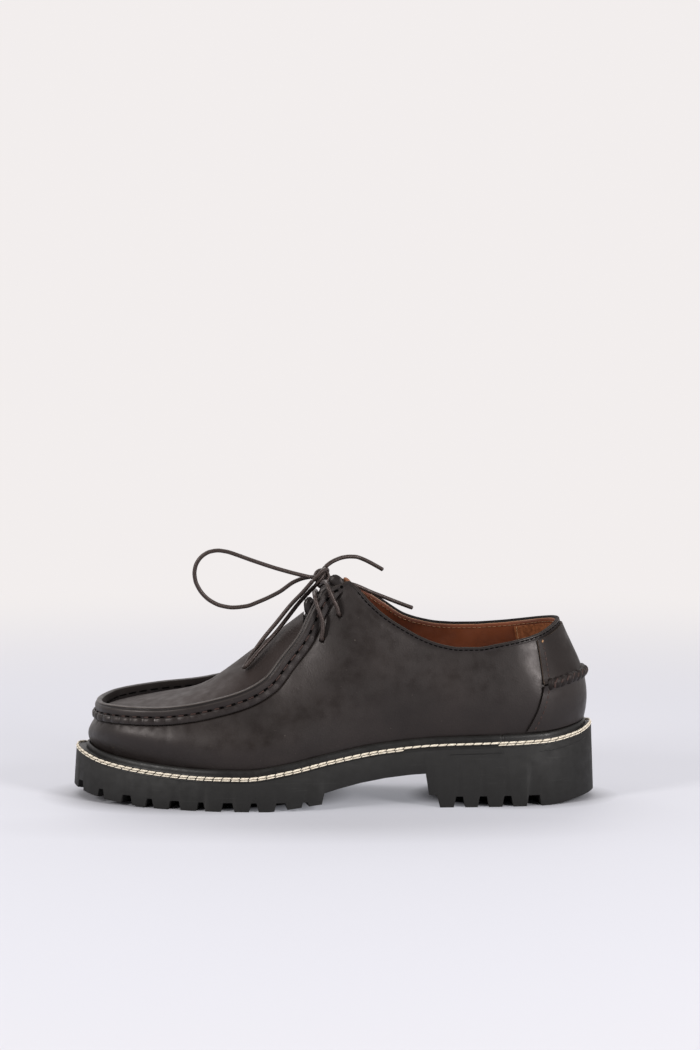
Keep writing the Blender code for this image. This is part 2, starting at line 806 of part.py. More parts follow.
def tongue_row(x, offset, columns=11):
    """Points across the tongue where its middle line has this x, moved off its face by offset."""
    psi = np.linspace(0.3, 0.62, 300)
    at = np.interp(x, top_line(psi)[:, 0] - 4.0, psi)
    lateral = edge_point(np.array([at]), (-4.6, -3.4), (-4.6, -3.4))[0]
    medial = edge_point(np.array([2 - at]), (-4.6, -3.4), (-4.6, -3.4))[0]
    share = np.linspace(0, 1, columns)[:, None]
    points = lateral + (medial - lateral) * share
    middle = (lateral + medial) / 2
    crown = smooth(SPINE, 1, middle[0]) - UPPER_WALL - 0.9 + offset - middle[2]
    points[:, 2] += crown * (1 - np.abs(2 * share[:, 0] - 1) ** 2.4)
    points[:, 2] += offset * np.abs(2 * share[:, 0] - 1) ** 2.4
    return points


def make_tongue(material, parent):
    """Leather tongue under the lacing, sewn below the apron's end."""
    tongue = Solid()
    places = np.linspace(TONGUE_FRONT, TONGUE_BACK, 12)
    grids = [[tongue.row(tongue_row(x, offset)) for x in places] for offset in (0.0, -TONGUE_THICKNESS)]
    for grid in grids:
        for a, b in zip(grid, grid[1:]):
            tongue.band(a, b, closed=False)
    for a, b in ((grids[0][0], grids[1][0]), (grids[0][-1], grids[1][-1])):
        tongue.band(a, b, closed=False)
    for k in (0, -1):
        tongue.band([row[k] for row in grids[0]], [row[k] for row in grids[1]], closed=False)
    return tongue.build("tongue", material, parent)


def eased_route(points):
    """Points along a smooth curve through a route, about one lace step apart."""
    points = np.array(points, float)
    run = np.concatenate([[0], np.cumsum(np.linalg.norm(np.diff(points, axis=0), axis=1))])
    rows = [(at, *point) for at, point in zip(run, points)]
    at = np.linspace(0, run[-1], int(np.ceil(run[-1] / LACE_STEP)) + 1)
    return np.stack([smooth(rows, column, at) for column in (1, 2, 3)], -1)


def make_lace(name, route, material, parent):
    """Round cord along a route, with flat ends."""
    points = eased_route(route)
    along = np.gradient(points, axis=0)
    along /= np.linalg.norm(along, axis=1, keepdims=True)
    side = np.cross(along[0], (0.3, 0.5, 0.8))
    cord = Solid()
    rings = []
    turn = np.linspace(0, 2 * np.pi, LACE_SIDES, endpoint=False)[:, None]
    for point, way in zip(points, along):
        side = side - way * np.dot(side, way)
        side /= np.linalg.norm(side)
        other = np.cross(way, side)
        circle = np.cos(turn) * side + np.sin(turn) * other
        rings.append(cord.row(point + circle * LACE_DIAMETER / 2))
    for a, b in zip(rings, rings[1:]):
        cord.band(a, b)
    cord.faces.extend([rings[0][::-1], rings[-1]])
    return cord.build(name, material, parent)


def make_knot(material, parent):
    """Plain rounded knot."""
    knot = Solid()
    sides, rows = 12, 7
    turn = np.linspace(0, 2 * np.pi, sides, endpoint=False)
    rings = []
    for tilt in np.linspace(-np.pi / 2, np.pi / 2, rows + 2)[1:-1]:
        circle = np.stack([np.cos(turn) * np.cos(tilt), np.sin(turn) * np.cos(tilt), np.full(sides, np.sin(tilt))], -1)
        rings.append(knot.row(np.array(KNOT_CENTRE) + circle * np.array(KNOT_RADII)))
    for a, b in zip(rings, rings[1:]):
        knot.band(a, b)
    knot.faces.extend([rings[0][::-1], rings[-1]])
    return knot.build("lace_knot", material, parent)


def make_laces(material, parent):
    routes = {
        "lace_crossing_lower": LOWER_CROSSING,
        "lace_crossing_upper": UPPER_CROSSING,
        "lace_loop_front": LOOP_FRONT,
        "lace_loop_side": LOOP_SIDE,
        "lace_end_up": END_UP,
        "lace_end_back": END_BACK,
    }
    for name, route in routes.items():
        make_lace(name, route, material, parent)
    make_knot(material, parent)


def main():
    for obj in list(bpy.data.objects):
        bpy.data.objects.remove(obj)
    shoe = bpy.data.objects.new("shoe", None)
    bpy.context.scene.collection.objects.link(shoe)
    leather = finish_material("upper_leather", (0.028, 0.022, 0.02), 0.5)
    rubber = finish_material("sole_rubber", (0.022, 0.022, 0.022), 0.7)
    lining = finish_material("lining_leather", (0.28, 0.1, 0.04), 0.55)
    cord = finish_material("lace_cord", (0.035, 0.026, 0.022), 0.6)
    make_outsole(rubber, shoe)
    make_welt(rubber, shoe)
    make_upper(leather, shoe)
    make_heel_panels(leather, shoe)
    make_insole(lining, shoe)
    make_tongue(leather, shoe)
    make_laces(cord, shoe)


main()
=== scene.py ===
"""Looks of the left lace-up moccasin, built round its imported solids.

Tables and sizes are in millimetres, in the frame of the solids: toe towards -X, outer side towards -Y
and +Z up. Lines round the shoe are functions of psi: 0 at the toe, on along the lateral side to 1 at
the back of the heel, and along the medial side to 2 at the toe again.
"""

import math

import bmesh
import bpy
import numpy as np
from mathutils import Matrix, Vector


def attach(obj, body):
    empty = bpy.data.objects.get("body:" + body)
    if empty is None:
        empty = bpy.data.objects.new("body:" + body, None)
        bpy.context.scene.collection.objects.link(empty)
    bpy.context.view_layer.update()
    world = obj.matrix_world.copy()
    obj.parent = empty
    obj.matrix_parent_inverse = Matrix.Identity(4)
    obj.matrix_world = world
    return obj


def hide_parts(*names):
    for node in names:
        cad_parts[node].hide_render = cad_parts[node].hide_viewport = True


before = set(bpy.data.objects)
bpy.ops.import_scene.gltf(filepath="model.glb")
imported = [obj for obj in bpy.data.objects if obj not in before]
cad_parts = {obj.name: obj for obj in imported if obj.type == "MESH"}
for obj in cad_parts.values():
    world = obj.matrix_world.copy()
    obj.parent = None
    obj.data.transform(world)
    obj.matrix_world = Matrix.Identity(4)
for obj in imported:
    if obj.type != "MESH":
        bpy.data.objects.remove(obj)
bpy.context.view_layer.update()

MM = 0.001
BODY = "root"

# Sizes shared with the solids
GAP = 0.3
SOLE_FRONT, SOLE_BACK = -151.2, 151.2
SOLE_DRAFT = 1.4
WELT_THICKNESS = 5.0
LIP_HEIGHT = 4.2
UPPER_WALL = 2.4
LUG_DEPTH = 5.0
HEEL_LUG_DEPTH = 6.2
INSOLE_THICKNESS = 4.6
PANEL_THICKNESS = 1.3
TONGUE_THICKNESS = 1.8
LACE_DIAMETER = 2.4

# Outer edge of the sole seen from above: share of the length from the toe, lateral y, medial y
SOLE_OUTLINE = [
    (0.00, 9.0, 9.0), (0.02, -12.0, 28.0), (0.06, -26.0, 41.0), (0.12, -37.5, 49.5),
    (0.20, -47.0, 54.0), (0.30, -54.0, 55.0), (0.38, -55.0, 51.5), (0.48, -50.5, 45.0),
    (0.58, -44.5, 40.0), (0.68, -41.0, 38.0), (0.80, -39.0, 39.0), (0.90, -34.0, 36.0),
    (0.96, -23.0, 26.5), (1.00, 2.0, 2.0),
]

# Width of the welt outside the upper: share of the length from the toe, width
WELT_WIDTH = [(0.0, 8.6), (0.1, 7.6), (0.3, 6.6), (0.5, 6.0), (0.7, 5.4), (0.9, 5.6), (1.0, 6.2)]

# Side view of the sole: x, height of the welt's ledge
LEDGE = [
    (-151.0, 29.8), (-141.0, 26.0), (-130.0, 23.4), (-100.0, 20.0), (-75.0, 18.6), (-50.0, 18.4),
    (-25.0, 22.0), (0.0, 27.6), (30.0, 32.7), (60.0, 35.2), (90.0, 36.0), (120.0, 37.0), (140.0, 39.9),
    (151.0, 44.6),
]

# Side view of the tread: x, height of the lugs' ends over the floor
TREAD = [
    (-151.2, 6.6), (-130.0, 2.6), (-105.0, 0.4), (-86.0, 0.0), (60.0, 0.0), (118.0, 0.0), (151.2, 4.6),
]

# Side view of the arch, cut away between the forefoot's tread and the heel: x, z
ARCH = [
    (-42.0, -1.0), (-36.0, 0.0), (-22.0, 1.6), (-6.0, 3.6), (-4.6, 9.8), (4.0, 12.2), (16.0, 15.0),
    (30.0, 17.4), (44.0, 18.9), (52.9, 19.4), (54.6, 7.4), (59.2, 6.8), (61.2, -1.0),
]

# Seam, facing and collar line from above: x, lateral y, medial y
TOP_PLAN = [
    (-138.0, 8.0, 8.0), (-136.0, -8.0, 22.0), (-130.0, -20.0, 32.0), (-115.0, -31.0, 38.5),
    (-100.0, -35.5, 40.5), (-80.0, -38.5, 41.0), (-64.0, -38.5, 40.0), (-47.0, -37.0, 37.5),
    (-30.0, -33.0, 33.5), (-20.0, -29.8, 30.2), (-8.0, -26.0, 26.5), (4.0, -22.9, 23.3),
    (9.0, -22.7, 23.4), (13.0, -23.6, 24.4), (17.0, -25.2, 26.0), (21.0, -26.4, 27.2),
    (28.0, -27.6, 28.8), (41.0, -28.8, 30.6), (69.0, -30.2, 32.8), (103.0, -28.0, 31.0),
    (117.0, -23.0, 26.5), (127.0, -12.5, 16.5), (131.0, 2.0, 2.0),
]

# The same line from the side: x, lateral z, medial z
TOP_SIDE = [
    (-138.0, 45.6, 45.6), (-130.0, 46.0, 47.2), (-102.0, 46.3, 51.0), (-80.0, 48.6, 53.2),
    (-64.0, 52.0, 56.2), (-47.0, 57.1, 60.4), (-32.0, 65.9, 68.2), (-22.0, 78.6, 80.0),
    (-11.0, 93.4, 93.6), (-3.0, 110.2, 107.4), (4.0, 120.0, 115.4), (7.4, 123.3, 118.0),
    (8.8, 124.4, 118.9), (10.2, 123.1, 118.7), (12.0, 121.5, 118.1), (16.0, 117.0, 116.2),
    (20.0, 112.8, 113.6), (28.0, 105.9, 108.2), (41.0, 97.6, 100.0), (52.0, 92.0, 96.6),
    (61.0, 89.0, 95.0), (72.0, 87.2, 94.4), (83.0, 87.2, 94.5), (94.0, 88.9, 95.2), (103.0, 90.6, 96.0),
    (117.0, 93.9, 98.0), (131.0, 101.0, 101.0),
]

# Fullness of the wall: q, push at the lower handle lateral and medial, push at the upper handle
FULLNESS = [
    (0.00, 3.4, 3.4, 3.6, 3.6),
    (0.15, 4.0, 4.0, 5.0, 5.0),
    (0.30, 4.4, 3.6, 7.0, 6.0),
    (0.45, 5.0, 3.0, 9.5, 9.0),
    (0.55, 5.0, 2.5, 10.0, 10.0),
    (0.70, 5.0, 4.0, 5.5, 6.0),
    (0.85, 6.0, 6.0, 5.0, 5.0),
    (1.00, 6.5, 6.5, 8.0, 8.0),
]
LOWER_HANDLE = 0.42
UPPER_HANDLE = 0.36
TOP_SMOOTHING = 0.035

# How far the ridge has turned into the binding: x of the seam line, share
RIDGE_TO_BINDING = [
    (-138.0, 0.0), (-40.0, 0.0), (-14.0, 0.08), (1.5, 0.16), (5.0, 0.6), (8.5, 1.0), (131.0, 1.0),
]
# How proud the ridge's lip is: x of the seam line, share
LIP_PROUD = [(-138.0, 1.35), (-110.0, 1.2), (-80.0, 0.95), (-45.0, 0.8), (-22.0, 0.5), (131.0, 0.4)]

# Section over the apron's ridge, and over the collar's binding, from the wall to the lining:
# ridge push, rise and tone, binding push, rise and tone
# Low tones paint shade under the ridge's lip, in its grooves and down its inside, and in the binding's
# stitch line, and darken the binding's top; high tones paint a highlight on the crest and the binding's
# rim, partly their paler cut edges
EDGE_SECTION = [
    (0.00, -0.25, 0.45, 0.00, 0.05, 0.50),
    (0.45, -0.20, 0.12, 0.00, 0.20, 0.50),
    (0.85, 0.10, 0.40, 0.00, 0.35, 0.50),
    (1.15, 0.80, 0.50, 0.00, 0.50, 0.50),
    (1.25, 1.90, 0.50, 0.02, 0.70, 0.48),
    (1.10, 3.00, 0.50, 0.02, 0.95, 0.40),
    (0.75, 3.80, 0.46, -0.06, 1.25, 0.16),
    (0.30, 4.20, 0.22, -0.08, 1.50, 0.12),
    (0.08, 4.40, 0.02, 0.02, 1.75, 0.35),
    (0.25, 4.70, 0.28, 0.06, 2.10, 0.46),
    (0.50, 5.60, 0.48, 0.00, 2.50, 0.48),
    (0.60, 7.00, 0.48, -0.20, 2.82, 0.62),
    (0.42, 8.10, 0.60, -0.50, 3.02, 0.66),
    (-0.05, 8.55, 0.15, -0.85, 3.08, 0.34),
    (-0.48, 8.90, 0.03, -1.20, 3.06, 0.22),
    (-0.50, 9.25, 0.06, -1.55, 2.95, 0.20),
    (-0.38, 9.70, 0.76, -1.85, 2.76, 0.20),
    (-1.05, 10.16, 0.64, -2.15, 2.45, 0.22),
    (-2.20, 10.16, 0.42, -2.38, 2.04, 0.25),
    (-3.50, 9.55, 0.34, -2.52, 1.60, 0.78),
    (-4.40, 8.20, 0.25, -2.58, 1.25, 0.55),
    (-5.05, 6.40, 0.15, -2.60, 0.90, 0.50),
    (-5.50, 5.00, 0.05, -2.60, 0.60, 0.50),
    (-5.30, 3.20, 0.10, -2.60, 0.40, 0.50),
]
EDGE_EASING = 2
LINING_ROW = 19
RIM_ROW = 10
SEAM_STITCH_PITCH = 7.0

# Middle line of the apron, and of the tongue that goes on from it: x, z
SPINE = [
    (-133.0, 51.4), (-115.0, 54.2), (-100.0, 57.3), (-85.0, 60.8), (-74.0, 65.2), (-67.0, 69.6),
    (-59.0, 75.3), (-47.0, 84.6), (-30.0, 97.4), (-17.0, 107.4), (-5.0, 117.0), (6.0, 123.6),
    (14.0, 126.0),
]
APRON_END = -12.5
TONGUE_FRONT, TONGUE_BACK = -36.0, 6.5

# Heel panels: share of the wall's height, x of their front edge
PANEL_EDGE = [(0.0, 109.6), (0.12, 113.6), (0.25, 117.0), (0.5, 119.6), (0.8, 118.0), (1.0, 116.2)]
# Raised heel seam: x, z
HEEL_SEAM = [(100.0, 66.8), (120.0, 68.2), (140.0, 71.6), (150.0, 72.8)]

# Tread: places of the notches in from the sole's edge, and the channel behind them
FOREFOOT_NOTCH_X = (-15.2, -28.9, -44.3, -59.1, -74.4, -89.5, -104.1, -117.6, -133.0, -146.0)
FOREFOOT_NOTCH_WIDTHS = (3.0, 5.2)
HEEL_NOTCH_X = (72.0, 85.6, 99.6, 114.8)
HEEL_NOTCH_WIDTHS = (4.0, 4.0, 4.0, 6.4)
NOTCH_FLARE = 1.3
NOTCH_PAST = 4.0
# Height of a tread cutter in depths of its cut
CUT_DEPTHS = 1.6
# Length of a notch: x, length
NOTCH_REACH = [(-151.2, 10.0), (-125.0, 13.0), (-100.0, 18.0), (151.2, 18.0)]
CHANNEL_WIDTH = 4.6
CHANNEL_INSET = 20.0
# psi along the channels of the forefoot and the heel, and their depths
CHANNELS = [(np.linspace(0.46, -0.46, 81), LUG_DEPTH), (np.linspace(0.66, 1.34, 61), HEEL_LUG_DEPTH)]
ARCH_SIDES = (-80.0, 80.0)
MIDDLE_GROOVE_X = (-112.0, -95.0, -78.0, -61.0, -44.0, -27.0, 82.0, 100.0)
MIDDLE_GROOVE_WIDTH = 4.2

# The lace's knot, and the routes of its crossings, loops and ends: x, y, z
KNOT_CENTRE = (-7.0, -1.0, 128.2)
LOWER_CROSSING = [
    (-6.2, -31.0, 95.4), (-5.7, -29.8, 100.0), (-5.8, -29.6, 104.6), (-6.9, -29.6, 108.8),
    (-8.4, -28.8, 112.6), (-10.2, -26.6, 118.6), (-10.6, -20.0, 120.4), (-10.6, -10.0, 118.8),
    (-10.6, 0.0, 117.4), (-10.6, 10.0, 117.4), (-10.4, 19.0, 117.2), (-9.8, 26.2, 115.4),
    (-8.4, 29.4, 111.2), (-6.9, 30.2, 107.6), (-5.8, 30.2, 103.6), (-5.7, 30.4, 99.4),
    (-6.2, 31.6, 95.0),
]
UPPER_CROSSING = [
    (3.7, -28.8, 109.1), (2.6, -27.8, 112.6), (0.6, -27.6, 116.8), (-2.4, -26.6, 123.4),
    (-4.2, -20.4, 126.6), (-6.0, -11.0, 125.0), (-6.8, 0.0, 122.9), (-6.2, 9.0, 122.6),
    (-4.2, 20.0, 122.6), (-2.4, 26.8, 119.4), (0.6, 28.2, 113.4), (2.6, 28.4, 109.6),
    (3.7, 29.4, 106.4),
]
LOOP_FRONT = [
    (-12.7, -4.2, 127.5), (-23.8, -6.0, 130.4), (-33.3, -7.0, 133.2), (-42.1, -8.0, 136.2),
    (-49.4, -8.5, 138.8), (-55.8, -9.0, 141.2), (-61.4, -9.0, 142.9), (-66.0, -9.0, 143.5),
    (-70.6, -9.0, 142.8), (-74.4, -9.0, 140.8), (-77.2, -9.0, 137.9), (-79.0, -9.0, 134.2),
    (-79.6, -8.8, 130.2), (-79.1, -8.4, 126.1), (-77.4, -8.0, 121.9), (-74.5, -7.5, 117.7),
    (-70.2, -7.0, 114.0), (-64.2, -6.2, 111.2), (-57.4, -5.0, 110.1), (-50.3, -3.9, 110.7),
    (-42.3, -2.5, 113.4), (-31.2, -1.0, 118.6), (-22.1, 0.5, 124.6), (-16.8, 1.2, 126.5),
    (-12.8, 1.4, 127.1),
]
LOOP_SIDE = [
    (-11.5, -7.5, 126.0), (-17.2, -9.0, 119.5), (-23.8, -10.0, 112.7), (-32.2, -11.0, 102.4),
    (-40.2, -12.0, 92.7), (-45.9, -13.5, 84.8), (-49.3, -16.2, 79.6), (-50.9, -18.2, 77.2),
    (-49.4, -20.0, 78.4), (-46.3, -19.0, 82.0), (-42.0, -16.5, 86.9), (-32.9, -11.0, 96.3),
    (-25.9, -8.5, 105.0), (-20.1, -7.5, 112.4), (-15.5, -6.5, 117.5), (-10.1, -5.5, 122.9),
]
END_UP = [
    (-4.6, -1.0, 133.0), (-0.9, 0.0, 135.9), (2.3, 1.0, 137.4), (5.6, 2.0, 138.4), (9.2, 3.0, 138.8),
    (12.9, 4.0, 138.6), (16.2, 5.0, 137.6), (19.4, 5.0, 136.2), (24.3, 5.0, 133.6), (29.1, 5.0, 130.8),
]
END_BACK = [
    (-1.5, 1.5, 126.2), (2.3, 3.0, 124.6), (6.3, 4.5, 123.4), (9.8, 5.5, 122.6), (13.9, 6.5, 121.3),
    (22.0, 8.5, 117.6), (29.6, 9.5, 114.5), (37.7, 10.5, 111.2), (46.5, 11.0, 107.9),
]

# Stations round the upper: psi of the stretch's end, steps in the stretch, for one side
STATIONS = [(0.10, 48), (0.38, 90), (0.60, 110), (0.90, 64), (1.00, 36)]
WALL_STEPS = 30
LINING_STEPS = 16

# Camera: distance, aim, pitch, and size of a pixel at the shoe
CAMERA_DISTANCE = 1600.0
CAMERA_AIM = (9.8, 0.0, 157.4)
CAMERA_PITCH = 5.0
MM_PER_PIXEL = 0.577
IMAGE_WIDTH = 700
SENSOR_WIDTH = 36.0


def smooth(rows, column, at):
    """Monotone cubic curve through a table's column, by its first column."""
    x = np.array([row[0] for row in rows], float)
    y = np.array([row[column] for row in rows], float)
    step = np.diff(x)
    rise = np.diff(y) / step
    slope = np.zeros_like(y)
    turning = rise[:-1] * rise[1:] > 0
    before, after = 2 * step[1:] + step[:-1], step[1:] + 2 * step[:-1]
    inner = slope[1:-1]
    inner[turning] = ((before + after)[turning]) / (
        before[turning] / rise[:-1][turning] + after[turning] / rise[1:][turning]
    )
    slope[0] = end_slope(step[0], step[1], rise[0], rise[1])
    slope[-1] = end_slope(step[-1], step[-2], rise[-1], rise[-2])
    at = np.clip(np.asarray(at, float), x[0], x[-1])
    i = np.clip(np.searchsorted(x, at, side="right") - 1, 0, len(x) - 2)
    t = (at - x[i]) / step[i]
    return (
        (2 * t**3 - 3 * t**2 + 1) * y[i]
        + (t**3 - 2 * t**2 + t) * step[i] * slope[i]
        + (3 * t**2 - 2 * t**3) * y[i + 1]
        + (t**3 - t**2) * step[i] * slope[i + 1]
    )


def end_slope(step, next_step, rise, next_rise):
    """Slope of the monotone cubic at the end of a table."""
    slope = ((2 * step + next_step) * rise - step * next_rise) / (step + next_step)
    if slope * rise <= 0:
        return 0.0
    if rise * next_rise <= 0 and abs(slope) > abs(3 * rise):
        return 3 * rise
    return slope


def round_ended(rows, front, back):
    """The table with its first column, a place along the shoe, changed to q, for round ends."""
    shares = [(row[0] - front) / (back - front) for row in rows]
    return [(np.arccos(1 - 2 * share) / np.pi, *row[1:]) for share, row in zip(shares, rows)]


SOLE_BY_Q = round_ended(SOLE_OUTLINE, 0.0, 1.0)
WELT_BY_Q = round_ended(WELT_WIDTH, 0.0, 1.0)
TOP_FRONT, TOP_BACK = TOP_PLAN[0][0], TOP_PLAN[-1][0]
TOP_BY_Q = round_ended(TOP_PLAN, TOP_FRONT, TOP_BACK)


def q_of(psi):
    psi = np.mod(psi, 2.0)
    return np.where(psi <= 1, psi, 2 - psi)


def by_side(rows, columns, psi, at):
    """The table's lateral or medial column, whichever side psi is on."""
    lateral, medial = columns
    return np.where(np.mod(psi, 2.0) <= 1, smooth(rows, lateral, at), smooth(rows, medial, at))


def plan(rows, front, back, psi):
    """Point (x, y) of a round-ended outline."""
    q = q_of(psi)
    x = front + (back - front) * (1 - np.cos(np.pi * q)) / 2
    return np.stack([x, by_side(rows, (1, 2), psi, q)], -1)


def outward(line, psi, step=0.004):
    """Unit normal, in the floor's plane, that points out of a line round the shoe."""
    along = line(psi + step) - line(psi - step)
    normal = np.stack([along[..., 1], -along[..., 0]], -1)
    return normal / np.linalg.norm(normal, axis=-1, keepdims=True)


def sole_edge(psi, inset=0.0):
    def edge(at):
        return plan(SOLE_BY_Q, SOLE_FRONT, SOLE_BACK, at)

    psi = np.asarray(psi, float)
    return edge(psi) - outward(edge, psi) * np.asarray(inset)[..., None]


def feather(psi, inset=0.0):
    """Line on the floor's plane where the upper's wall meets the welt."""
    return sole_edge(psi, SOLE_DRAFT + smooth(WELT_BY_Q, 1, q_of(psi)) + inset)


def ledge_height(x):
    return smooth(LEDGE, 1, x)


def sole_top(x):
    return ledge_height(x) - WELT_THICKNESS - GAP


def tread_height(x):
    return smooth(TREAD, 1, x)


def with_height(points, heights):
    return np.concatenate([points, np.asarray(heights)[..., None]], -1)


def wall_foot(psi):
    """Where the wall leaves the welt's lip."""
    points = feather(psi)
    return with_height(points, ledge_height(points[..., 0]) + LIP_HEIGHT)


def top_line(psi):
    """Lower edge of the apron's sewn lip and of the collar's binding."""
    psi = np.asarray(psi, float)
    points = plan(TOP_BY_Q, TOP_FRONT, TOP_BACK, psi)
    return with_height(points, by_side(TOP_SIDE, (1, 2), psi, points[..., 0]))


def wall(psi, share):
    """Outer surface of the upper's wall: share 0 at the welt's lip and 1 at the top line."""
    psi, share = np.broadcast_arrays(np.asarray(psi, float), np.asarray(share, float))
    foot, top = wall_foot(psi), top_line(psi)
    q = q_of(psi)
    rise = (top - foot)[..., 2]
    lower, upper = foot.copy(), top.copy()
    lower[..., :2] += outward(feather, psi) * by_side(FULLNESS, (1, 2), psi, q)[..., None]
    lower[..., 2] += LOWER_HANDLE * rise
    out = outward(top_line, psi, TOP_SMOOTHING)[..., :2]
    upper[..., :2] += out * by_side(FULLNESS, (3, 4), psi, q)[..., None]
    upper[..., 2] -= UPPER_HANDLE * rise
    t = share[..., None]
    return (1 - t) ** 3 * foot + 3 * (1 - t) ** 2 * t * lower + 3 * (1 - t) * t**2 * upper + t**3 * top


def unit(vectors):
    return vectors / np.linalg.norm(vectors, axis=-1, keepdims=True)


def wall_normal(psi, share, step=0.003):
    psi, share = np.broadcast_arrays(np.asarray(psi, float), np.asarray(share, float))
    low, high = np.clip(share - step, 0, 1), np.clip(share + step, 0, 1)
    along = wall(psi + step, share) - wall(psi - step, share)
    up = wall(psi, high) - wall(psi, low)
    return unit(np.cross(along, up))


def off_wall(psi, share, offset):
    """Points an offset out from the wall's outer face."""
    return wall(psi, share) + wall_normal(psi, share) * offset


def share_at_height(psi, height, samples=120):
    """Share of the wall where it reaches a height, for each psi."""
    shares = np.linspace(0, 1, samples)
    heights = wall(np.asarray(psi)[:, None], shares[None, :])[..., 2]
    return np.array([np.interp(h, column, shares) for h, column in zip(height, heights)])


def top_frame(psi, step=0.004):
    """The top line's point, its outward normal, and the way its ridge rises."""
    along = unit(top_line(psi + step) - top_line(psi - step))
    out = with_height(outward(top_line, psi)[..., :2], np.zeros(np.shape(psi)))
    return top_line(psi), out, np.cross(out, along)


def edge_point(psi, ridge, binding):
    """A point of the ridge's or binding's section on the top line."""
    base, out, up = top_frame(psi)
    turned = smooth(RIDGE_TO_BINDING, 1, base[..., 0])
    push = ridge[0] * (1 - turned) + binding[0] * turned
    rise = ridge[1] * (1 - turned) + binding[1] * turned
    return base + out * push[..., None] + up * rise[..., None]


def front_psi(x, share):
    """psi on the lateral side where the wall, at a share of its height, has this x."""
    psi = np.linspace(0.6, 1.0, 120)
    return np.interp(x, wall(psi, share)[:, 0], psi)


def run_of(points):
    """Length run along points, from the first of them."""
    return np.concatenate([[0], np.cumsum(np.linalg.norm(np.diff(points, axis=0), axis=1))])


def run_along(line, first, last, samples=3000):
    """psi and run, the length from first, along a line round the shoe."""
    psi = np.linspace(first, last, samples)
    return psi, run_of(line(psi))


def evenly(line, first, last, pitch):
    """psi of places an even pitch apart along a line."""
    psi, run = run_along(line, first, last)
    count = max(1, int(round(run[-1] / pitch)))
    return np.interp((np.arange(count) + 0.5) * run[-1] / count, run, psi)


def ring_of(stretches):
    """psi of the stations round the shoe, the same on both sides."""
    found = [0.0]
    for end, steps in stretches:
        found.extend(np.linspace(found[-1], end, steps + 1)[1:])
    side = np.array(found)
    return np.concatenate([side, 2 - side[-2:0:-1]])


RING = ring_of(STATIONS)
SEAM_PSI, SEAM_RUN = run_along(top_line, 0.0, 1.0)
SEAM_RUN_MEDIAL = run_along(lambda psi: top_line(2 - psi), 0.0, 1.0)[1]


def seam_run(psi):
    """Length along the top line from the toe, on either side."""
    q = q_of(psi)
    lateral = np.interp(q, SEAM_PSI, SEAM_RUN)
    medial = np.interp(q, SEAM_PSI, SEAM_RUN_MEDIAL)
    return np.where(np.mod(psi, 2.0) <= 1, lateral, medial)


def eased(points, per_step):
    """Points with smooth ones put between them, by a curve through all of them."""
    points = np.array(points, float)
    ends = np.vstack([2 * points[0] - points[1], points, 2 * points[-1] - points[-2]])
    steps = np.arange(per_step) / per_step
    found = []
    for a, b, c, d in zip(ends, ends[1:], ends[2:], ends[3:]):
        square, cube = 2 * a - 5 * b + 4 * c - d, 3 * b - a - 3 * c + d
        found += [0.5 * (2 * b + (c - a) * t + square * t**2 + cube * t**3) for t in steps]
    return np.array([*found, points[-1]])


def eased_route(points, step):
    """Points along a smooth curve through a route, about one step apart."""
    points = np.array(points, float)
    run = run_of(points)
    rows = [(at, *point) for at, point in zip(run, points)]
    at = np.linspace(0, run[-1], int(np.ceil(run[-1] / step)) + 1)
    return np.stack([smooth(rows, column, at) for column in (1, 2, 3)], -1)


# Tone of plain leather, neither painted shade nor a pale edge with a painted highlight
PLAIN_TONE = 0.5


class Skin:
    """Points, faces, finishes and tones of one mesh, gathered row by row."""

    def __init__(self):
        self.points = []
        self.tones = []
        self.faces = []
        self.finishes = []
        self.count = 0

    def row(self, points, tone=PLAIN_TONE):
        """Adds points and returns their indices."""
        points = np.asarray(points, float).reshape(-1, 3)
        self.points.append(points)
        self.tones.append(np.broadcast_to(np.asarray(tone, float), len(points)))
        self.count += len(points)
        return np.arange(self.count - len(points), self.count)

    def face(self, corners, finish=0):
        self.faces.append(list(map(int, corners)))
        self.finishes.append(finish)

    def band(self, a, b, closed=True, finish=0):
        """Quads between two rows of equal length."""
        c, d = (np.roll(a, -1), np.roll(b, -1)) if closed else (a[1:], b[1:])
        quads = np.stack([a[: len(c)], c, d, b[: len(c)]], 1)
        self.faces.extend(quads.tolist())
        self.finishes.extend(np.broadcast_to(finish, len(quads)).tolist())

    def grid(self, rows, closed=True, finish=0):
        for a, b in zip(rows, rows[1:]):
            self.band(a, b, closed, finish)

    def closed(self, rings):
        """Rings joined into a body, with a face over each end."""
        self.grid(rings)
        self.face(rings[0][::-1])
        self.face(rings[-1])

    def sheet(self, top, under, finishes=(0, 0, 0)):
        """Closed body between two grids of rows: finish of the top, of the underside and of the edges."""
        self.grid(top, closed=False, finish=finishes[0])
        self.grid(under, closed=False, finish=finishes[1])
        for k in (0, -1):
            self.band(top[k], under[k], closed=False, finish=finishes[2])
            ends = [np.array([row[k] for row in rows]) for rows in (top, under)]
            self.band(*ends, closed=False, finish=finishes[2])

    def build(self, name, materials, slot, replaces=(), sharp_angle=None):
        """The piece as an object that rides on the shoe's body."""
        mesh = bpy.data.meshes.new(name)
        mesh.from_pydata((np.concatenate(self.points) * MM).tolist(), [], self.faces)
        mesh.attributes.new("tone", "FLOAT", "POINT").data.foreach_set("value", np.concatenate(self.tones))
        for material in materials:
            mesh.materials.append(material)
        mesh.polygons.foreach_set("material_index", self.finishes)
        edit = bmesh.new()
        edit.from_mesh(mesh)
        bmesh.ops.recalc_face_normals(edit, faces=edit.faces)
        edit.to_mesh(mesh)
        edit.free()
        mesh.shade_smooth()
        if sharp_angle is not None:
            mesh.set_sharp_from_angle(angle=math.radians(sharp_angle))
        piece = bpy.data.objects.new(name, mesh)
        bpy.context.scene.collection.objects.link(piece)
        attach(piece, BODY)
        if replaces:
            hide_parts(*replaces)
        return piece


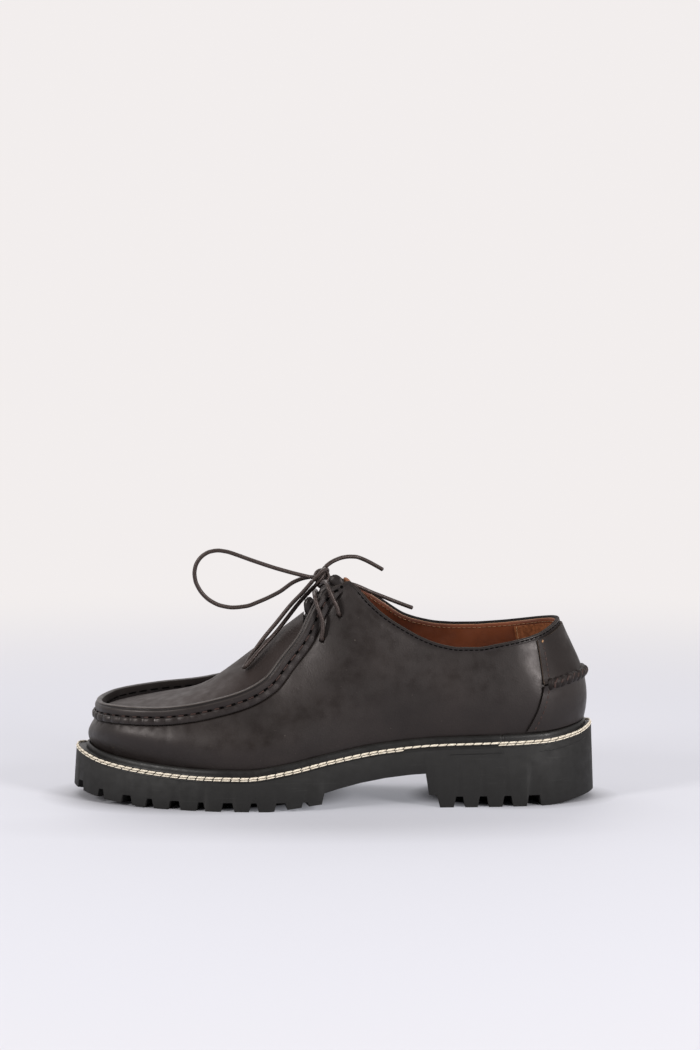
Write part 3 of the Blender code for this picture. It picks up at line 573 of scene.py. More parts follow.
def add_node(tree, kind, inputs=(), **settings):
    """A new node with its settings made, and its inputs set or linked."""
    made = tree.nodes.new(kind)
    for key, value in settings.items():
        setattr(made, key, value)
    for key, value in dict(inputs).items():
        if isinstance(value, bpy.types.NodeSocket):
            tree.links.new(value, made.inputs[key])
        else:
            made.inputs[key].default_value = value
    return made


# Where most of a noise's values lie, and the tones of painted shade in seams, grooves and creases, and of
# pale edges with a painted highlight
NOISE_SPREAD = (0.3, 0.7)
DARK_TONE = (0.0, 0.45)
HIGHLIGHT_AND_EDGE_TONE = (0.55, 1.0)


class Finish:
    """A Principled material and short calls that add nodes to it. Sizes and depths are in millimetres."""

    def __init__(self, name, roughness, specular):
        self.material = bpy.data.materials.new(name)
        self.material.use_nodes = True
        self.tree = self.material.node_tree
        self.shader = self.tree.nodes["Principled BSDF"]
        self.shader.inputs["Roughness"].default_value = roughness
        self.shader.inputs["Specular IOR Level"].default_value = specular
        self.place = self.node("ShaderNodeTexCoord").outputs["Object"]
        self.bump = None

    def node(self, kind, inputs=(), **settings):
        return add_node(self.tree, kind, inputs, **settings)

    def link(self, value, socket):
        self.tree.links.new(value, self.shader.inputs[socket])

    def stretched(self, scale):
        """Object coordinates with a scale of their own along each axis."""
        return self.node("ShaderNodeMapping", {"Vector": self.place, "Scale": scale}).outputs["Vector"]

    def noise(self, size, detail=2.0, vector=None):
        """Noise with lumps of about this size, from 0 to 1."""
        inputs = {"Vector": vector or self.place, "Scale": 1 / (size * MM), "Detail": detail}
        return self.node("ShaderNodeTexNoise", inputs).outputs["Fac"]

    def length(self, vector):
        return self.node("ShaderNodeVectorMath", {0: vector}, operation="LENGTH").outputs["Value"]

    def cells(self, size):
        """Distance from the middle of cells of about this size."""
        inputs = {"Vector": self.place, "Scale": 1 / (size * MM)}
        return self.node("ShaderNodeTexVoronoi", inputs, feature="SMOOTH_F1").outputs["Distance"]

    def spread(self, value, low, high, to_low=0.0, to_high=1.0):
        inputs = {"Value": value, "From Min": low, "From Max": high, "To Min": to_low, "To Max": to_high}
        return self.node("ShaderNodeMapRange", inputs).outputs["Result"]

    def mixed(self, share, first, second):
        """Colour between two, each of them a socket or red, green and blue."""
        ends = [end if isinstance(end, bpy.types.NodeSocket) else (*end, 1.0) for end in (first, second)]
        return self.node("ShaderNodeMix", {0: share, 6: ends[0], 7: ends[1]}, data_type="RGBA").outputs[2]

    def blend(self, value, dark, pale, reach=NOISE_SPREAD):
        """Colour that follows a noise from dark to pale."""
        return self.mixed(self.spread(value, *reach), dark, pale)

    def tone(self):
        return self.node("ShaderNodeAttribute", attribute_name="tone").outputs["Fac"]

    def highlight_and_pale_edge(self, base, pale):
        """The base colour, paler where the tone is high: a painted highlight on edges, rims and raised
        strands, partly the paler cut edge of the leather.
        """
        return self.mixed(self.spread(self.tone(), *HIGHLIGHT_AND_EDGE_TONE), base, pale)

    def colour(self, value):
        self.link(value, "Base Color")

    def roughness(self, size, detail, low, high):
        """Roughness that wanders between two values, in patches of about this size."""
        self.link(self.spread(self.noise(size, detail), *NOISE_SPREAD, low, high), "Roughness")

    def relief(self, height, depth, strength=1.0):
        """Adds bump of this depth."""
        inputs = {"Height": height, "Distance": depth * MM, "Strength": strength}
        if self.bump is not None:
            inputs["Normal"] = self.bump
        self.bump = self.node("ShaderNodeBump", inputs).outputs["Normal"]
        self.link(self.bump, "Normal")


# The leather's colour in the dark and the pale clouds, as painted shade in seams and grooves, on pale
# edges with a painted highlight, and in specks
LEATHER_COLOURS = ((0.0072, 0.0053, 0.0047), (0.0128, 0.0095, 0.0085))
LEATHER_CLOUDS = (0.35, 0.68)
LEATHER_SHADE_AND_SEAM = (0.0022, 0.0016, 0.0015)
LEATHER_HIGHLIGHT_AND_EDGE = (0.105, 0.090, 0.080)
LEATHER_SPECK = (0.05, 0.042, 0.036)
ROUGHNESS_SPREAD = 0.1
# Tints of the leathers' reflections
WARM_SHEEN = (1.0, 0.85, 0.83, 1.0)
PLAIN_SHEEN = (1.0, 0.93, 0.92, 1.0)


def upper_leather(name, roughness, specular, sheen, lit_paleness=1.0):
    """Dark brown waxed leather with fine grain, tonal clouds, shade painted into its seams, grooves and
    creases, and pale edges with a painted highlight.
    """
    finish = Finish(name, roughness, specular)
    finish.shader.inputs["Specular Tint"].default_value = sheen
    # The last argument paints the leather paler for the light falling on it, as on the apron's upturned
    # face
    base = finish.blend(finish.noise(38.0, 3.0), *np.array(LEATHER_COLOURS) * lit_paleness, LEATHER_CLOUDS)
    # Low tones paint shade in seams, grooves and creases
    dark = finish.mixed(finish.spread(finish.tone(), *DARK_TONE), LEATHER_SHADE_AND_SEAM, base)
    specks = finish.spread(finish.cells(5.5), 0.045, 0.03)
    # High tones paint a highlight on pale edges
    finish.colour(finish.mixed(specks, finish.highlight_and_pale_edge(dark, LEATHER_HIGHLIGHT_AND_EDGE), LEATHER_SPECK))
    finish.roughness(7.0, 5.0, roughness - ROUGHNESS_SPREAD, roughness + ROUGHNESS_SPREAD)
    finish.relief(finish.noise(2.6, 3.0), 0.05)
    finish.relief(finish.cells(0.75), 0.035, 0.8)
    finish.relief(finish.noise(0.3), 0.02, 0.6)
    return finish.material


def lining_leather():
    """Smooth cognac lining leather."""
    finish = Finish("cognac_lining", 0.5, specular=0.4)
    base = finish.blend(finish.noise(22.0, 3.0), (0.070, 0.017, 0.0064), (0.145, 0.040, 0.0155))
    # Paler where the tone is high: a highlight painted along the collar's rim, partly its paler cut edge,
    # and paler lining corners
    finish.colour(finish.highlight_and_pale_edge(base, (0.55, 0.29, 0.14)))
    finish.roughness(6.0, 2.0, 0.42, 0.58)
    finish.relief(finish.cells(0.6), 0.03, 0.7)
    finish.relief(finish.noise(0.3), 0.02, 0.5)
    return finish.material


def suede():
    """Brushed heel grip."""
    finish = Finish("suede_grip", 0.95, specular=0.1)
    nap = finish.noise(1.6, 5.0)
    finish.colour(finish.blend(nap, (0.105, 0.032, 0.012), (0.235, 0.082, 0.033)))
    finish.shader.inputs["Sheen Weight"].default_value = 0.35
    finish.shader.inputs["Sheen Tint"].default_value = (0.75, 0.42, 0.25, 1.0)
    finish.relief(nap, 0.16)
    finish.relief(finish.noise(0.25), 0.08)
    return finish.material


def sole_rubber():
    """Matt moulded rubber with faint level drag marks."""
    finish = Finish("moulded_rubber", 0.62, specular=0.29)
    base = finish.blend(finish.noise(26.0, 4.0), (0.0056, 0.0053, 0.0050), (0.0088, 0.0083, 0.0079))
    drag = finish.noise(1.0, 3.0, finish.stretched((0.05, 0.05, 1.0)))
    finish.colour(finish.mixed(finish.spread(drag, 0.62, 0.85, 0.0, 0.5), base, (0.028, 0.028, 0.027)))
    finish.roughness(5.0, 4.0, 0.55, 0.72)
    finish.relief(drag, 0.05, 0.5)
    finish.relief(finish.noise(0.45, 3.0), 0.05, 0.7)
    return finish.material


def welt_rubber():
    """Black welt strip, a little glossier than the sole, with a highlight painted along the top of its
    lip.
    """
    finish = Finish("welt_strip", 0.5, specular=0.28)
    base = finish.blend(finish.noise(14.0, 4.0), (0.0040, 0.0038, 0.0036), (0.0075, 0.0071, 0.0068))
    # Paler where the tone is high: a highlight painted along the top of the lip
    finish.colour(finish.highlight_and_pale_edge(base, (0.06, 0.055, 0.05)))
    finish.roughness(3.0, 4.0, 0.36, 0.56)
    finish.relief(finish.noise(1.3, 4.0), 0.05)
    return finish.material


def thread(name, dark, pale, ply, specular=0.35):
    """Waxed thread with plies of this width in millimetres."""
    finish = Finish(name, 0.62, specular)
    strands = finish.noise(ply, 2.0, finish.stretched((0.45, 1.0, 1.0)))
    finish.colour(finish.blend(strands, dark, pale, (0.35, 0.65)))
    finish.relief(strands, 0.12)
    return finish.material


def lace_cord():
    """Round waxed lace with a fine braid."""
    finish = Finish("waxed_lace", 0.42, specular=0.45)
    finish.shader.inputs["Specular Tint"].default_value = WARM_SHEEN
    fibres = finish.noise(0.5, 3.0)
    base = finish.blend(fibres, (0.0105, 0.0072, 0.0060), (0.026, 0.0185, 0.0155))
    # Paler on the braid's raised strands: a painted highlight
    finish.colour(finish.highlight_and_pale_edge(base, (0.06, 0.047, 0.04)))
    finish.roughness(2.0, 2.0, 0.36, 0.54)
    finish.relief(fibres, 0.05)
    return finish.material


def raw_edge():
    """Cut edge of the leather."""
    finish = Finish("cut_edge", 0.8, specular=0.2)
    fibres = finish.noise(0.6, 4.0)
    finish.colour(finish.blend(fibres, (0.022, 0.016, 0.013), (0.085, 0.062, 0.048)))
    finish.relief(fibres, 0.08)
    return finish.material


# Soft troughs of the worn wall: x at the welt, x at the top, share where deepest, depth, half width
CREASES = [
    (-66.0, -58.0, 0.75, 0.22, 6.0),
    (-47.0, -36.0, 0.65, 0.25, 7.0),
    (-97.0, -93.0, 0.55, 0.18, 2.4),
]
CREASE_REACH = 0.34
# Waves of the wall: height, and the lengths along x and z of the two that cross
WAVE = 0.12
WAVE_LENGTHS = ((13.0, 19.0), (-41.0, 15.0))
# How strongly the lip is gathered: length along the seam from the toe, share
GATHER = [(0.0, 1.0), (55.0, 1.0), (85.0, 0.6), (130.0, 0.3), (190.0, 0.35), (235.0, 0.6), (290.0, 0.0)]
GATHER_DEPTH = 1.1
GATHER_SHAPE = 0.7
# Gathers of the wall under the lip: share of the lip's, their mean, and the height in which they fade
GATHER_BELOW = 0.5
GATHER_MEAN = 0.4
GATHER_FADE = 2.2
PINCH_SHADE = 0.3
# Shares of the wall's height at its foot and its top where its relief is held down
HELD_FOOT = 0.12
HELD_TOP = 0.02


def gathers(psi):
    """Bulge of the sewn lip between its stitches, from 0 at a stitch, times its strength."""
    run = seam_run(psi)
    bulge = np.abs(np.sin(np.pi * run / SEAM_STITCH_PITCH)) ** GATHER_SHAPE
    return bulge * smooth(GATHER, 1, run)


def wall_relief(psi, share):
    """Creases, waves and gathers of the outer wall, out along its normal."""
    points = wall(psi, share)
    x, z = points[..., 0], points[..., 2]
    first, second = [np.sin(x / along + z / up) for along, up in WAVE_LENGTHS]
    found = WAVE * (first * second)
    for low, high, middle, depth, half in CREASES:
        across = (x - (low + (high - low) * share)) / half
        found = found - depth * np.exp(-(across**2) - ((share - middle) / CREASE_REACH) ** 2)
    below = (top_line(psi)[..., 2] - z) / GATHER_FADE
    bulge = gathers(psi) - GATHER_MEAN * smooth(GATHER, 1, seam_run(psi))
    found = found + GATHER_BELOW * GATHER_DEPTH * bulge * np.exp(-(below**2))
    return found * np.clip(share / HELD_FOOT, 0, 1) * np.clip((1 - share) / HELD_TOP, 0, 1)


# Share of the quarters' easing along the shoe: x, share
EASED_QUARTER = [(-75.0, 0.0), (-45.0, 1.0), (70.0, 1.0), (95.0, 0.0)]
EASE_LENGTH = 11.0
EASE_FADE = 5.0
# Levels and stretch along x that are eased, and the fewest points that an even line is fitted to
EASE_LEVELS = np.arange(34.0, 124.0, 2.0)
EASE_STRETCH = (-85.0, 105.0)
EASE_LEAST = 12


def even_out(x, y):
    """y made even along x, by a straight line fitted round each place."""
    apart = x[None, :] - x[:, None]
    weight = np.exp(-0.5 * (apart / EASE_LENGTH) ** 2)
    s0, s1, s2 = weight.sum(1), (weight * apart).sum(1), (weight * apart**2).sum(1)
    t0, t1 = (weight * y).sum(1), (weight * apart * y).sum(1)
    return (s2 * t0 - s1 * t1) / (s0 * s2 - s1**2)


def quarter_shifts(grid):
    """Sideways shifts that even out the quarters under the facings, for points by station and share."""
    shifts = np.zeros(grid.shape[:2])
    middle = grid[:, grid.shape[1] // 2, 0]
    within = (middle > EASE_STRETCH[0]) & (middle < EASE_STRETCH[1])
    for side in (RING < 1, RING > 1):
        columns = np.flatnonzero(side & within)
        lines = grid[columns]
        x, y = [
            np.array([np.interp(EASE_LEVELS, line[:, 2], line[:, k], np.nan, np.nan) for line in lines])
            for k in (0, 1)
        ]
        moved = np.zeros_like(y)
        for k in range(len(EASE_LEVELS)):
            known = np.isfinite(x[:, k])
            if known.sum() > EASE_LEAST:
                moved[known, k] = even_out(x[known, k], y[known, k]) - y[known, k]
        for row, i in enumerate(columns):
            column = grid[i]
            fade = np.clip((column[-1, 2] - column[:, 2]) / EASE_FADE, 0, 1)
            fade = fade * np.clip((column[:, 2] - column[0, 2]) / EASE_FADE, 0, 1)
            window = smooth(EASED_QUARTER, 1, column[:, 0])
            shifts[i] = np.interp(column[:, 2], EASE_LEVELS, moved[row]) * fade * window
    return shifts


def outer_walls(shares):
    """Rows of the wall's outer face, with its relief, at shares of its height."""
    psi = np.repeat(RING[:, None], len(shares), 1)
    share = np.repeat(shares[None, :], len(RING), 0)
    grid = wall(psi, share)
    found = grid + wall_normal(psi, share) * wall_relief(psi, share)[..., None]
    found[..., 1] += quarter_shifts(grid)
    return found


# Eyelets, the lower and the upper one: x, lateral z, medial z
EYELETS = [(-6.0, 94.6, 93.9), (3.8, 108.6, 105.6)]
EYELET_RADIUS = 1.45
EYELET_CUT = (-6.0, 4.0)
EYELET_SIDES = 20
EYELET_PSI = np.linspace(0.46, 0.64, 400)


def eyelet_places():
    """Centre and outward normal of each hole: lower and upper lateral, then lower and upper medial."""
    found = []
    for side, ring in enumerate((EYELET_PSI, 2 - EYELET_PSI)):
        for x, *heights in EYELETS:
            share = share_at_height(ring, np.full(len(ring), heights[side]))
            points = wall(ring, share)
            k = int(np.argmin(np.abs(points[:, 0] - x)))
            found.append((points[k], wall_normal(ring[k : k + 1], share[k : k + 1])[0]))
    return found


def cut_holes(piece):
    """Punches the four eyelets through the upper's wall."""
    cutter = Skin()
    for centre, normal in eyelet_places():
        side = unit(np.cross(normal, (0.0, 0.0, 1.0)))
        up = np.cross(side, normal)
        turn = np.linspace(0, 2 * np.pi, EYELET_SIDES, endpoint=False)[:, None]
        circle = (np.cos(turn) * side + np.sin(turn) * up) * EYELET_RADIUS
        cutter.closed([cutter.row(centre + normal * far + circle) for far in EYELET_CUT])
    tool = cutter.build("eyelet_cutter", [], "upper_leather")
    cut = piece.modifiers.new("eyelets", "BOOLEAN")
    cut.operation = "DIFFERENCE"
    cut.object = tool
    settle(piece)
    bpy.data.objects.remove(tool)


def settle(piece):
    """Applies a piece's modifiers."""
    graph = bpy.context.evaluated_depsgraph_get()
    made = bpy.data.meshes.new_from_object(piece.evaluated_get(graph), depsgraph=graph)
    piece.modifiers.clear()
    piece.data = made


# The lip is the part of the ridge under its groove: height of the groove, push where the gathers
# are full, how far they are drawn in, how far they lift, and height of the lip's shaded foot
GROOVE_RISE = 4.4
LIP_PUSH = 0.8
LIP_DRAWN_IN = 0.35
LIP_LIFT = 0.2
LIP_FOOT = 0.5


def edge_rows(psi):
    """Rows of points and tones over the ridge and the binding."""
    turned = smooth(RIDGE_TO_BINDING, 1, top_line(psi)[:, 0])
    proud = smooth(LIP_PROUD, 1, top_line(psi)[:, 0])
    gathered = gathers(psi)
    found = []
    for ridge_push, ridge_rise, ridge_tone, push, rise, tone in eased(EDGE_SECTION, EDGE_EASING):
        below = ridge_rise < GROOVE_RISE
        lip = np.clip(ridge_push / LIP_PUSH, 0, 1) if below else 0.0
        bulge = GATHER_DEPTH * lip * (gathered - LIP_DRAWN_IN * (gathered > 0))
        out = ridge_push * (proud if below else 1.0) + bulge
        points = edge_point(psi, (out, ridge_rise + LIP_LIFT * lip * gathered), (push, rise))
        # The lip's foot, and the pinches where it is drawn in between its gathers, are painted in shade
        strength = np.clip(proud, 0, 1) ** 2 if ridge_rise < LIP_FOOT else 1.0
        shade = PLAIN_TONE + (ridge_tone - PLAIN_TONE) * strength
        shade = shade - PINCH_SHADE * lip * (smooth(GATHER, 1, seam_run(psi)) - gathered)
        found.append((points, np.clip(shade * (1 - turned) + tone * turned, 0, 1)))
    return found


# Tone of the wall at its foot, how fast it rises with the share of the height, and the share of
# the binding from which the edge is the collar's
# The low tone at the wall's foot paints shade where the wall meets the welt's lip
FOOT_TONE = 0.2
FOOT_TONE_RISE = 8.0
COLLAR_TURNED = 0.9


def make_upper(leather, lining, matt):
    """Vamp and quarters: one wall that turns over the ridge and the binding into the lining."""
    skin = Skin()
    skirt = wall_foot(RING)
    skirt[:, 2] = sole_top(feather(RING)[:, 0]) + GAP
    shares = np.linspace(0, 1, WALL_STEPS + 1)
    outer = [skin.row(skirt)]
    walls = outer_walls(shares)
    tones = np.clip(FOOT_TONE + shares * FOOT_TONE_RISE, FOOT_TONE, PLAIN_TONE)
    outer += [skin.row(walls[:, k], tone) for k, tone in enumerate(tones)]
    edge = [skin.row(points, tone) for points, tone in edge_rows(RING)]
    lined = LINING_ROW * EDGE_EASING
    inner = []
    for share in np.linspace(1, 0, LINING_STEPS + 1):
        inner.append(skin.row(off_wall(RING, share, -UPPER_WALL)))
    inner.append(skin.row(with_height(feather(RING, UPPER_WALL), skirt[:, 2])))
    collar = smooth(RIDGE_TO_BINDING, 1, top_line(RING)[:, 0]) > COLLAR_TURNED
    rim = RIM_ROW * EDGE_EASING
    skin.grid([*outer, *edge[: rim + 1]], finish=0)
    skin.grid(edge[rim : lined + 1], finish=np.where(collar, 2, 0))
    skin.grid(edge[lined:], finish=np.where(collar, 1, 2))
    skin.grid([edge[-1], *inner, outer[0]], finish=1)
    upper = skin.build("upper_shell", [leather, lining, matt], "upper_leather", ["upper"])
    cut_holes(upper)


APRON_BORDER = (-4.5, 4.2)
APRON_COLUMNS = 56
APRON_ROWS = 150
APRON_START = 0.006
# Waves of the apron: height, lengths along x and y, shift, and share of its width held at each edge
APRON_WAVE = 0.3
APRON_WAVE_LENGTHS = (11.0, 9.0)
APRON_WAVE_SHIFT = 0.6
APRON_HELD = 0.08


def apron_psi(x):
    """psi on the lateral side where the seam line has this x."""
    psi = np.linspace(0.0, 0.6, 3000)
    return np.interp(x, top_line(psi)[:, 0], psi)


def apron_rows(drop):
    """Rows across the apron from its toe to its end, between the ridges."""
    found = []
    end = apron_psi(APRON_END)
    for q in np.linspace(APRON_START, end, APRON_ROWS):
        ends = edge_point(np.array([q, 2 - q]), APRON_BORDER, APRON_BORDER)
        share = (1 - np.cos(np.linspace(0, np.pi, APRON_COLUMNS))) / 2
        points = ends[0] + (ends[1] - ends[0]) * share[:, None]
        middle = ends.mean(0)
        crown = smooth(SPINE, 1, middle[0]) - middle[2]
        points[:, 2] += crown * (1 - (2 * share - 1) ** 2) - drop
        inside = np.clip(np.minimum(share, 1 - share) / APRON_HELD, 0, 1)
        along, across = (points[:, :2] / APRON_WAVE_LENGTHS).T
        points[:, 2] += inside * APRON_WAVE * np.sin(along) * np.sin(across + APRON_WAVE_SHIFT)
        found.append(points)
    return found


def make_apron(leather, lining):
    """The apron, sewn inside the ridge."""
    skin = Skin()
    grids = [[skin.row(points) for points in apron_rows(drop)] for drop in (0.0, UPPER_WALL)]
    skin.sheet(*grids, finishes=(0, 1, 0))
    skin.build("apron", [leather, lining], "upper_leather", ["upper"], sharp_angle=50.0)


WELT_SIDE = 2.4
# Section of the welt from its outer foot to its inner one: share of the width, push from there,
# height over the ledge, tone
# Tones over plain paint a highlight along the top of the lip
WELT_SECTION = [
    (1.0, 0.00, -WELT_SIDE, 0.5),
    (1.0, -0.15, -2.0, 0.5),
    (1.0, -0.55, -1.4, 0.5),
    (1.0, -1.10, -0.7, 0.5),
    (1.0, -1.70, -0.15, 0.5),
    (1.0, -2.40, 0.0, 0.5),
    (0.0, 3.00, 0.0, 0.3),
    (0.0, 2.60, 0.2, 0.3),
    (0.0, 2.40, 0.8, 0.45),
    (0.0, 2.35, 1.8, 0.5),
    (0.0, 2.20, 2.8, 0.5),
    (0.0, 1.85, 3.6, 0.5),
    (0.0, 1.30, 4.1, 0.62),
    (0.0, 0.70, 4.2, 0.62),
    (0.0, 0.20, 4.0, 0.5),
    (0.0, 0.00, 3.4, 0.3),
    (0.0, 0.00, -WELT_SIDE, 0.5),
]
# Butt joint of the welt's strip: place, how narrow it is in psi, stations across it in its widths,
# and its depths in the edge and in the ledge
WELT_JOINT_X = 97.0
JOINT_NARROW = 900.0
JOINT_STATIONS = np.array([-3.0, -1.5, -0.6, 0.0, 0.6, 1.5, 3.0])
JOINT_DEPTHS = (0.5, 0.6)


def make_welt(rubber):
    """Storm welt: a bevelled edge for the stitches, a ledge and a rounded lip."""
    psi = np.linspace(0.5, 1.0, 1200)
    joint = float(np.interp(WELT_JOINT_X, sole_edge(psi)[:, 0], psi))
    near = JOINT_STATIONS / JOINT_NARROW
    psi = np.unique(np.concatenate([RING, joint + near, 2 - joint + near]))
    inner = feather(psi, -GAP)
    outer = sole_edge(psi, SOLE_DRAFT)
    out = outward(feather, psi)
    width = np.linalg.norm(outer - inner, axis=1)
    gap = np.exp(-(((q_of(psi) - joint) * JOINT_NARROW) ** 2))
    skin = Skin()
    rows = []
    for share, push, height, tone in WELT_SECTION:
        reach = share * width + push
        points = inner + out * (reach - JOINT_DEPTHS[0] * gap * (reach > 1))[:, None]
        heights = ledge_height(points[:, 0]) + height - JOINT_DEPTHS[1] * gap * (height > -2)
        rows.append(skin.row(with_height(points, heights), tone))
    skin.grid([*rows, rows[0]])
    skin.build("welt_strip", [rubber], "sole_rubber", ["welt"])


# Outline of a stitch: place along it in lengths, share of its radius
STITCH_PROFILE = [
    (-0.5, 0.4), (-0.47, 0.78), (-0.4, 0.96), (0.0, 1.0), (0.4, 0.96), (0.47, 0.78), (0.5, 0.4),
]


def capsules(skin, centres, ways, length, radius, ups=None, flat=1.0, skew=0.0, sides=10):
    """Adds one short thread for each centre, along its way; skew leans its ends over."""
    ways = unit(np.asarray(ways, float))
    ups = np.broadcast_to((0.0, 0.0, 1.0), ways.shape) if ups is None else ups
    across = unit(np.cross(ways, ups))
    ups = np.cross(across, ways)
    turn = np.linspace(0, 2 * np.pi, sides, endpoint=False)[:, None]
    for centre, way, side, up in zip(centres, ways, across, ups):
        circle = (np.cos(turn) * side * flat + np.sin(turn) * (up + way * skew)) * radius
        rings = [skin.row(centre + way * at * length + circle * share) for at, share in STITCH_PROFILE]
        skin.closed(rings)


WELT_STITCH_PITCH = 5.0
WELT_STITCH_LENGTH = 4.5
WELT_STITCH_INSET = 1.0
WELT_STITCH_TURN = 0.002
# Rows of the welt stitch: inset from the welt's edge, height over the ledge, radius, offset in
# pitches, and places along x between which the row is hidden in the welt
WELT_STITCH_ROWS = [(0.90, 0.12, 0.64, 0.0, 200.0, 200.0), (0.16, -0.98, 0.38, 0.5, 40.0, 96.0)]


def welt_stitch_line(psi):
    points = sole_edge(psi, SOLE_DRAFT + WELT_STITCH_INSET)
    return with_height(points, ledge_height(points[:, 0]))


def make_welt_stitches(cream):
    """Cream thread along the welt's bevel, like a flat two-ply rope."""
    skin = Skin()
    psi = evenly(welt_stitch_line, 0.0, 2.0, WELT_STITCH_PITCH)
    step = psi[1] - psi[0]
    for inset, height, radius, offset, hidden_from, hidden_to in WELT_STITCH_ROWS:
        at = psi + offset * step
        edge = sole_edge(at, SOLE_DRAFT + inset)
        shown = (edge[:, 0] < hidden_from) | (edge[:, 0] > hidden_to)
        at, edge = at[shown], edge[shown]
        centres = with_height(edge, ledge_height(edge[:, 0]) + height)
        ways = welt_stitch_line(at + WELT_STITCH_TURN) - welt_stitch_line(at - WELT_STITCH_TURN)
        capsules(skin, centres, ways, WELT_STITCH_LENGTH, radius, flat=0.9, skew=1.0)
    skin.build("welt_stitches", [cream], "lace_cord")


# Fine line of the welt strip's lower edge on the sole's side: first and last x, drop under the ledge
STRIP_LINES = [(66.0, 97.0, 5.4), (118.0, 146.0, 5.6)]
# Section of that line: rise and push off the sole's side
STRIP_SECTION = [(-0.22, -0.12), (-0.22, 0.22), (0.22, 0.22), (0.22, -0.12)]


def make_strip_lines(rubber):
    """The welt strip's lower edge, where it shows on the sole's side."""
    skin = Skin()
    for first, last, drop in STRIP_LINES:
        lateral, medial = edge_psi([first, last], 0.5, 1.0)
        for ends in (lateral, medial):
            psi = np.linspace(*ends, 60)
            rows = []
            for up, out in STRIP_SECTION:
                edge = sole_edge(psi, SOLE_DRAFT - out)
                rows.append(skin.row(with_height(edge, ledge_height(edge[:, 0]) - drop + up)))
            for a, b in zip(rows, [*rows[1:], rows[0]]):
                skin.band(a, b, closed=False)
            skin.face([row[0] for row in rows])
            skin.face([row[-1] for row in rows][::-1])
    skin.build("welt_strip_lines", [rubber], "sole_rubber")


def prism(skin, outline, low, high):
    """Adds an upright prism on a closed plan outline, with heights given at each corner."""
    skin.closed([skin.row(with_height(outline, height)) for height in (low, high)])


def notch(skin, psi, width, depth):
    """Adds one flared cutter that runs in from the sole's edge."""
    edge = sole_edge(np.array([psi]))[0]
    out = outward(sole_edge, np.array([psi]))[0]
    across = np.array([-out[1], out[0]])
    root = tread_height(edge[0]) + depth
    outer, inner = edge + out * NOTCH_PAST, edge - out * smooth(NOTCH_REACH, 1, edge[0])
    ends = (outer, outer, inner, inner)
    rows = []
    flared = width / 2 + NOTCH_FLARE * CUT_DEPTHS
    for half, height in ((flared, root - depth * CUT_DEPTHS), (width / 2, root)):
        corners = [end + across * side * half for end, side in zip(ends, (-1, 1, 1, -1))]
        rows.append(skin.row(with_height(np.array(corners), np.full(4, height))))
    skin.closed(rows)


def edge_psi(places, first, last):
    """psi on both sides of the sole's edge for places along x, within a stretch of the lateral side."""
    psi = np.linspace(first, last, 1200)
    lateral = np.interp(places, sole_edge(psi)[:, 0], psi)
    medial = np.interp(places, sole_edge(2 - psi)[:, 0], psi)
    return lateral, 2 - medial


def channel(skin, psi, depth):
    """Adds a groove that follows the sole's edge along a run of psi."""
    far = sole_edge(psi, CHANNEL_INSET + CHANNEL_WIDTH)
    near = sole_edge(psi, CHANNEL_INSET)
    outline = np.concatenate([near, far[::-1]])
    root = tread_height(outline[:, 0]) + depth
    prism(skin, outline, root - depth * CUT_DEPTHS, root)


def tread_cutters():
    """The arch, the notches, the channels and the grooves across, as closed bodies."""
    arch = Skin()
    arch.closed([arch.row([(x, side, z) for x, z in ARCH]) for side in ARCH_SIDES])

    notches = Skin()
    for side in edge_psi(FOREFOOT_NOTCH_X, 0.0, 0.6):
        for k, psi in enumerate(side):
            notch(notches, psi, FOREFOOT_NOTCH_WIDTHS[k % 2], LUG_DEPTH)
    for side in edge_psi(HEEL_NOTCH_X, 0.5, 1.0):
        for psi, width in zip(side, HEEL_NOTCH_WIDTHS):
            notch(notches, psi, width, HEEL_LUG_DEPTH)

    channels = Skin()
    for psi, depth in CHANNELS:
        channel(channels, psi, depth)

    grooves = Skin()
    for x in MIDDLE_GROOVE_X:
        lateral, medial = edge_psi([x], 0.0, 1.0)
        inset = CHANNEL_INSET + CHANNEL_WIDTH / 2
        low, high = sole_edge(lateral, inset)[0, 1], sole_edge(medial, inset)[0, 1]
        half = MIDDLE_GROOVE_WIDTH / 2
        outline = np.array([(x - half, low), (x + half, low), (x + half, high), (x - half, high)])
        depth = LUG_DEPTH if x < 0 else HEEL_LUG_DEPTH
        root = tread_height(x) + depth
        prism(grooves, outline, np.full(4, root - depth * CUT_DEPTHS), np.full(4, root))
    return arch, notches, channels, grooves


# Easing of the sole's edges: width, and the angles from which edges are eased and drawn sharp
SOLE_EASE = 0.45
SOLE_EASE_ANGLE = 32.0
SOLE_SHARP_ANGLE = 30.0
SOLE_STATIONS = [(0.10, 16), (0.38, 30), (0.60, 24), (0.90, 26), (1.00, 14)]


def lid(skin, ring):
    """Strips across a closed ring of stations, from the lateral to the medial side."""
    last = len(ring) // 2
    skin.face([ring[0], ring[1], ring[-1]])
    for i in range(1, last - 1):
        skin.face([ring[i], ring[i + 1], ring[-i - 1], ring[-i]])
    skin.face([ring[last - 1], ring[last], ring[-last + 1]])


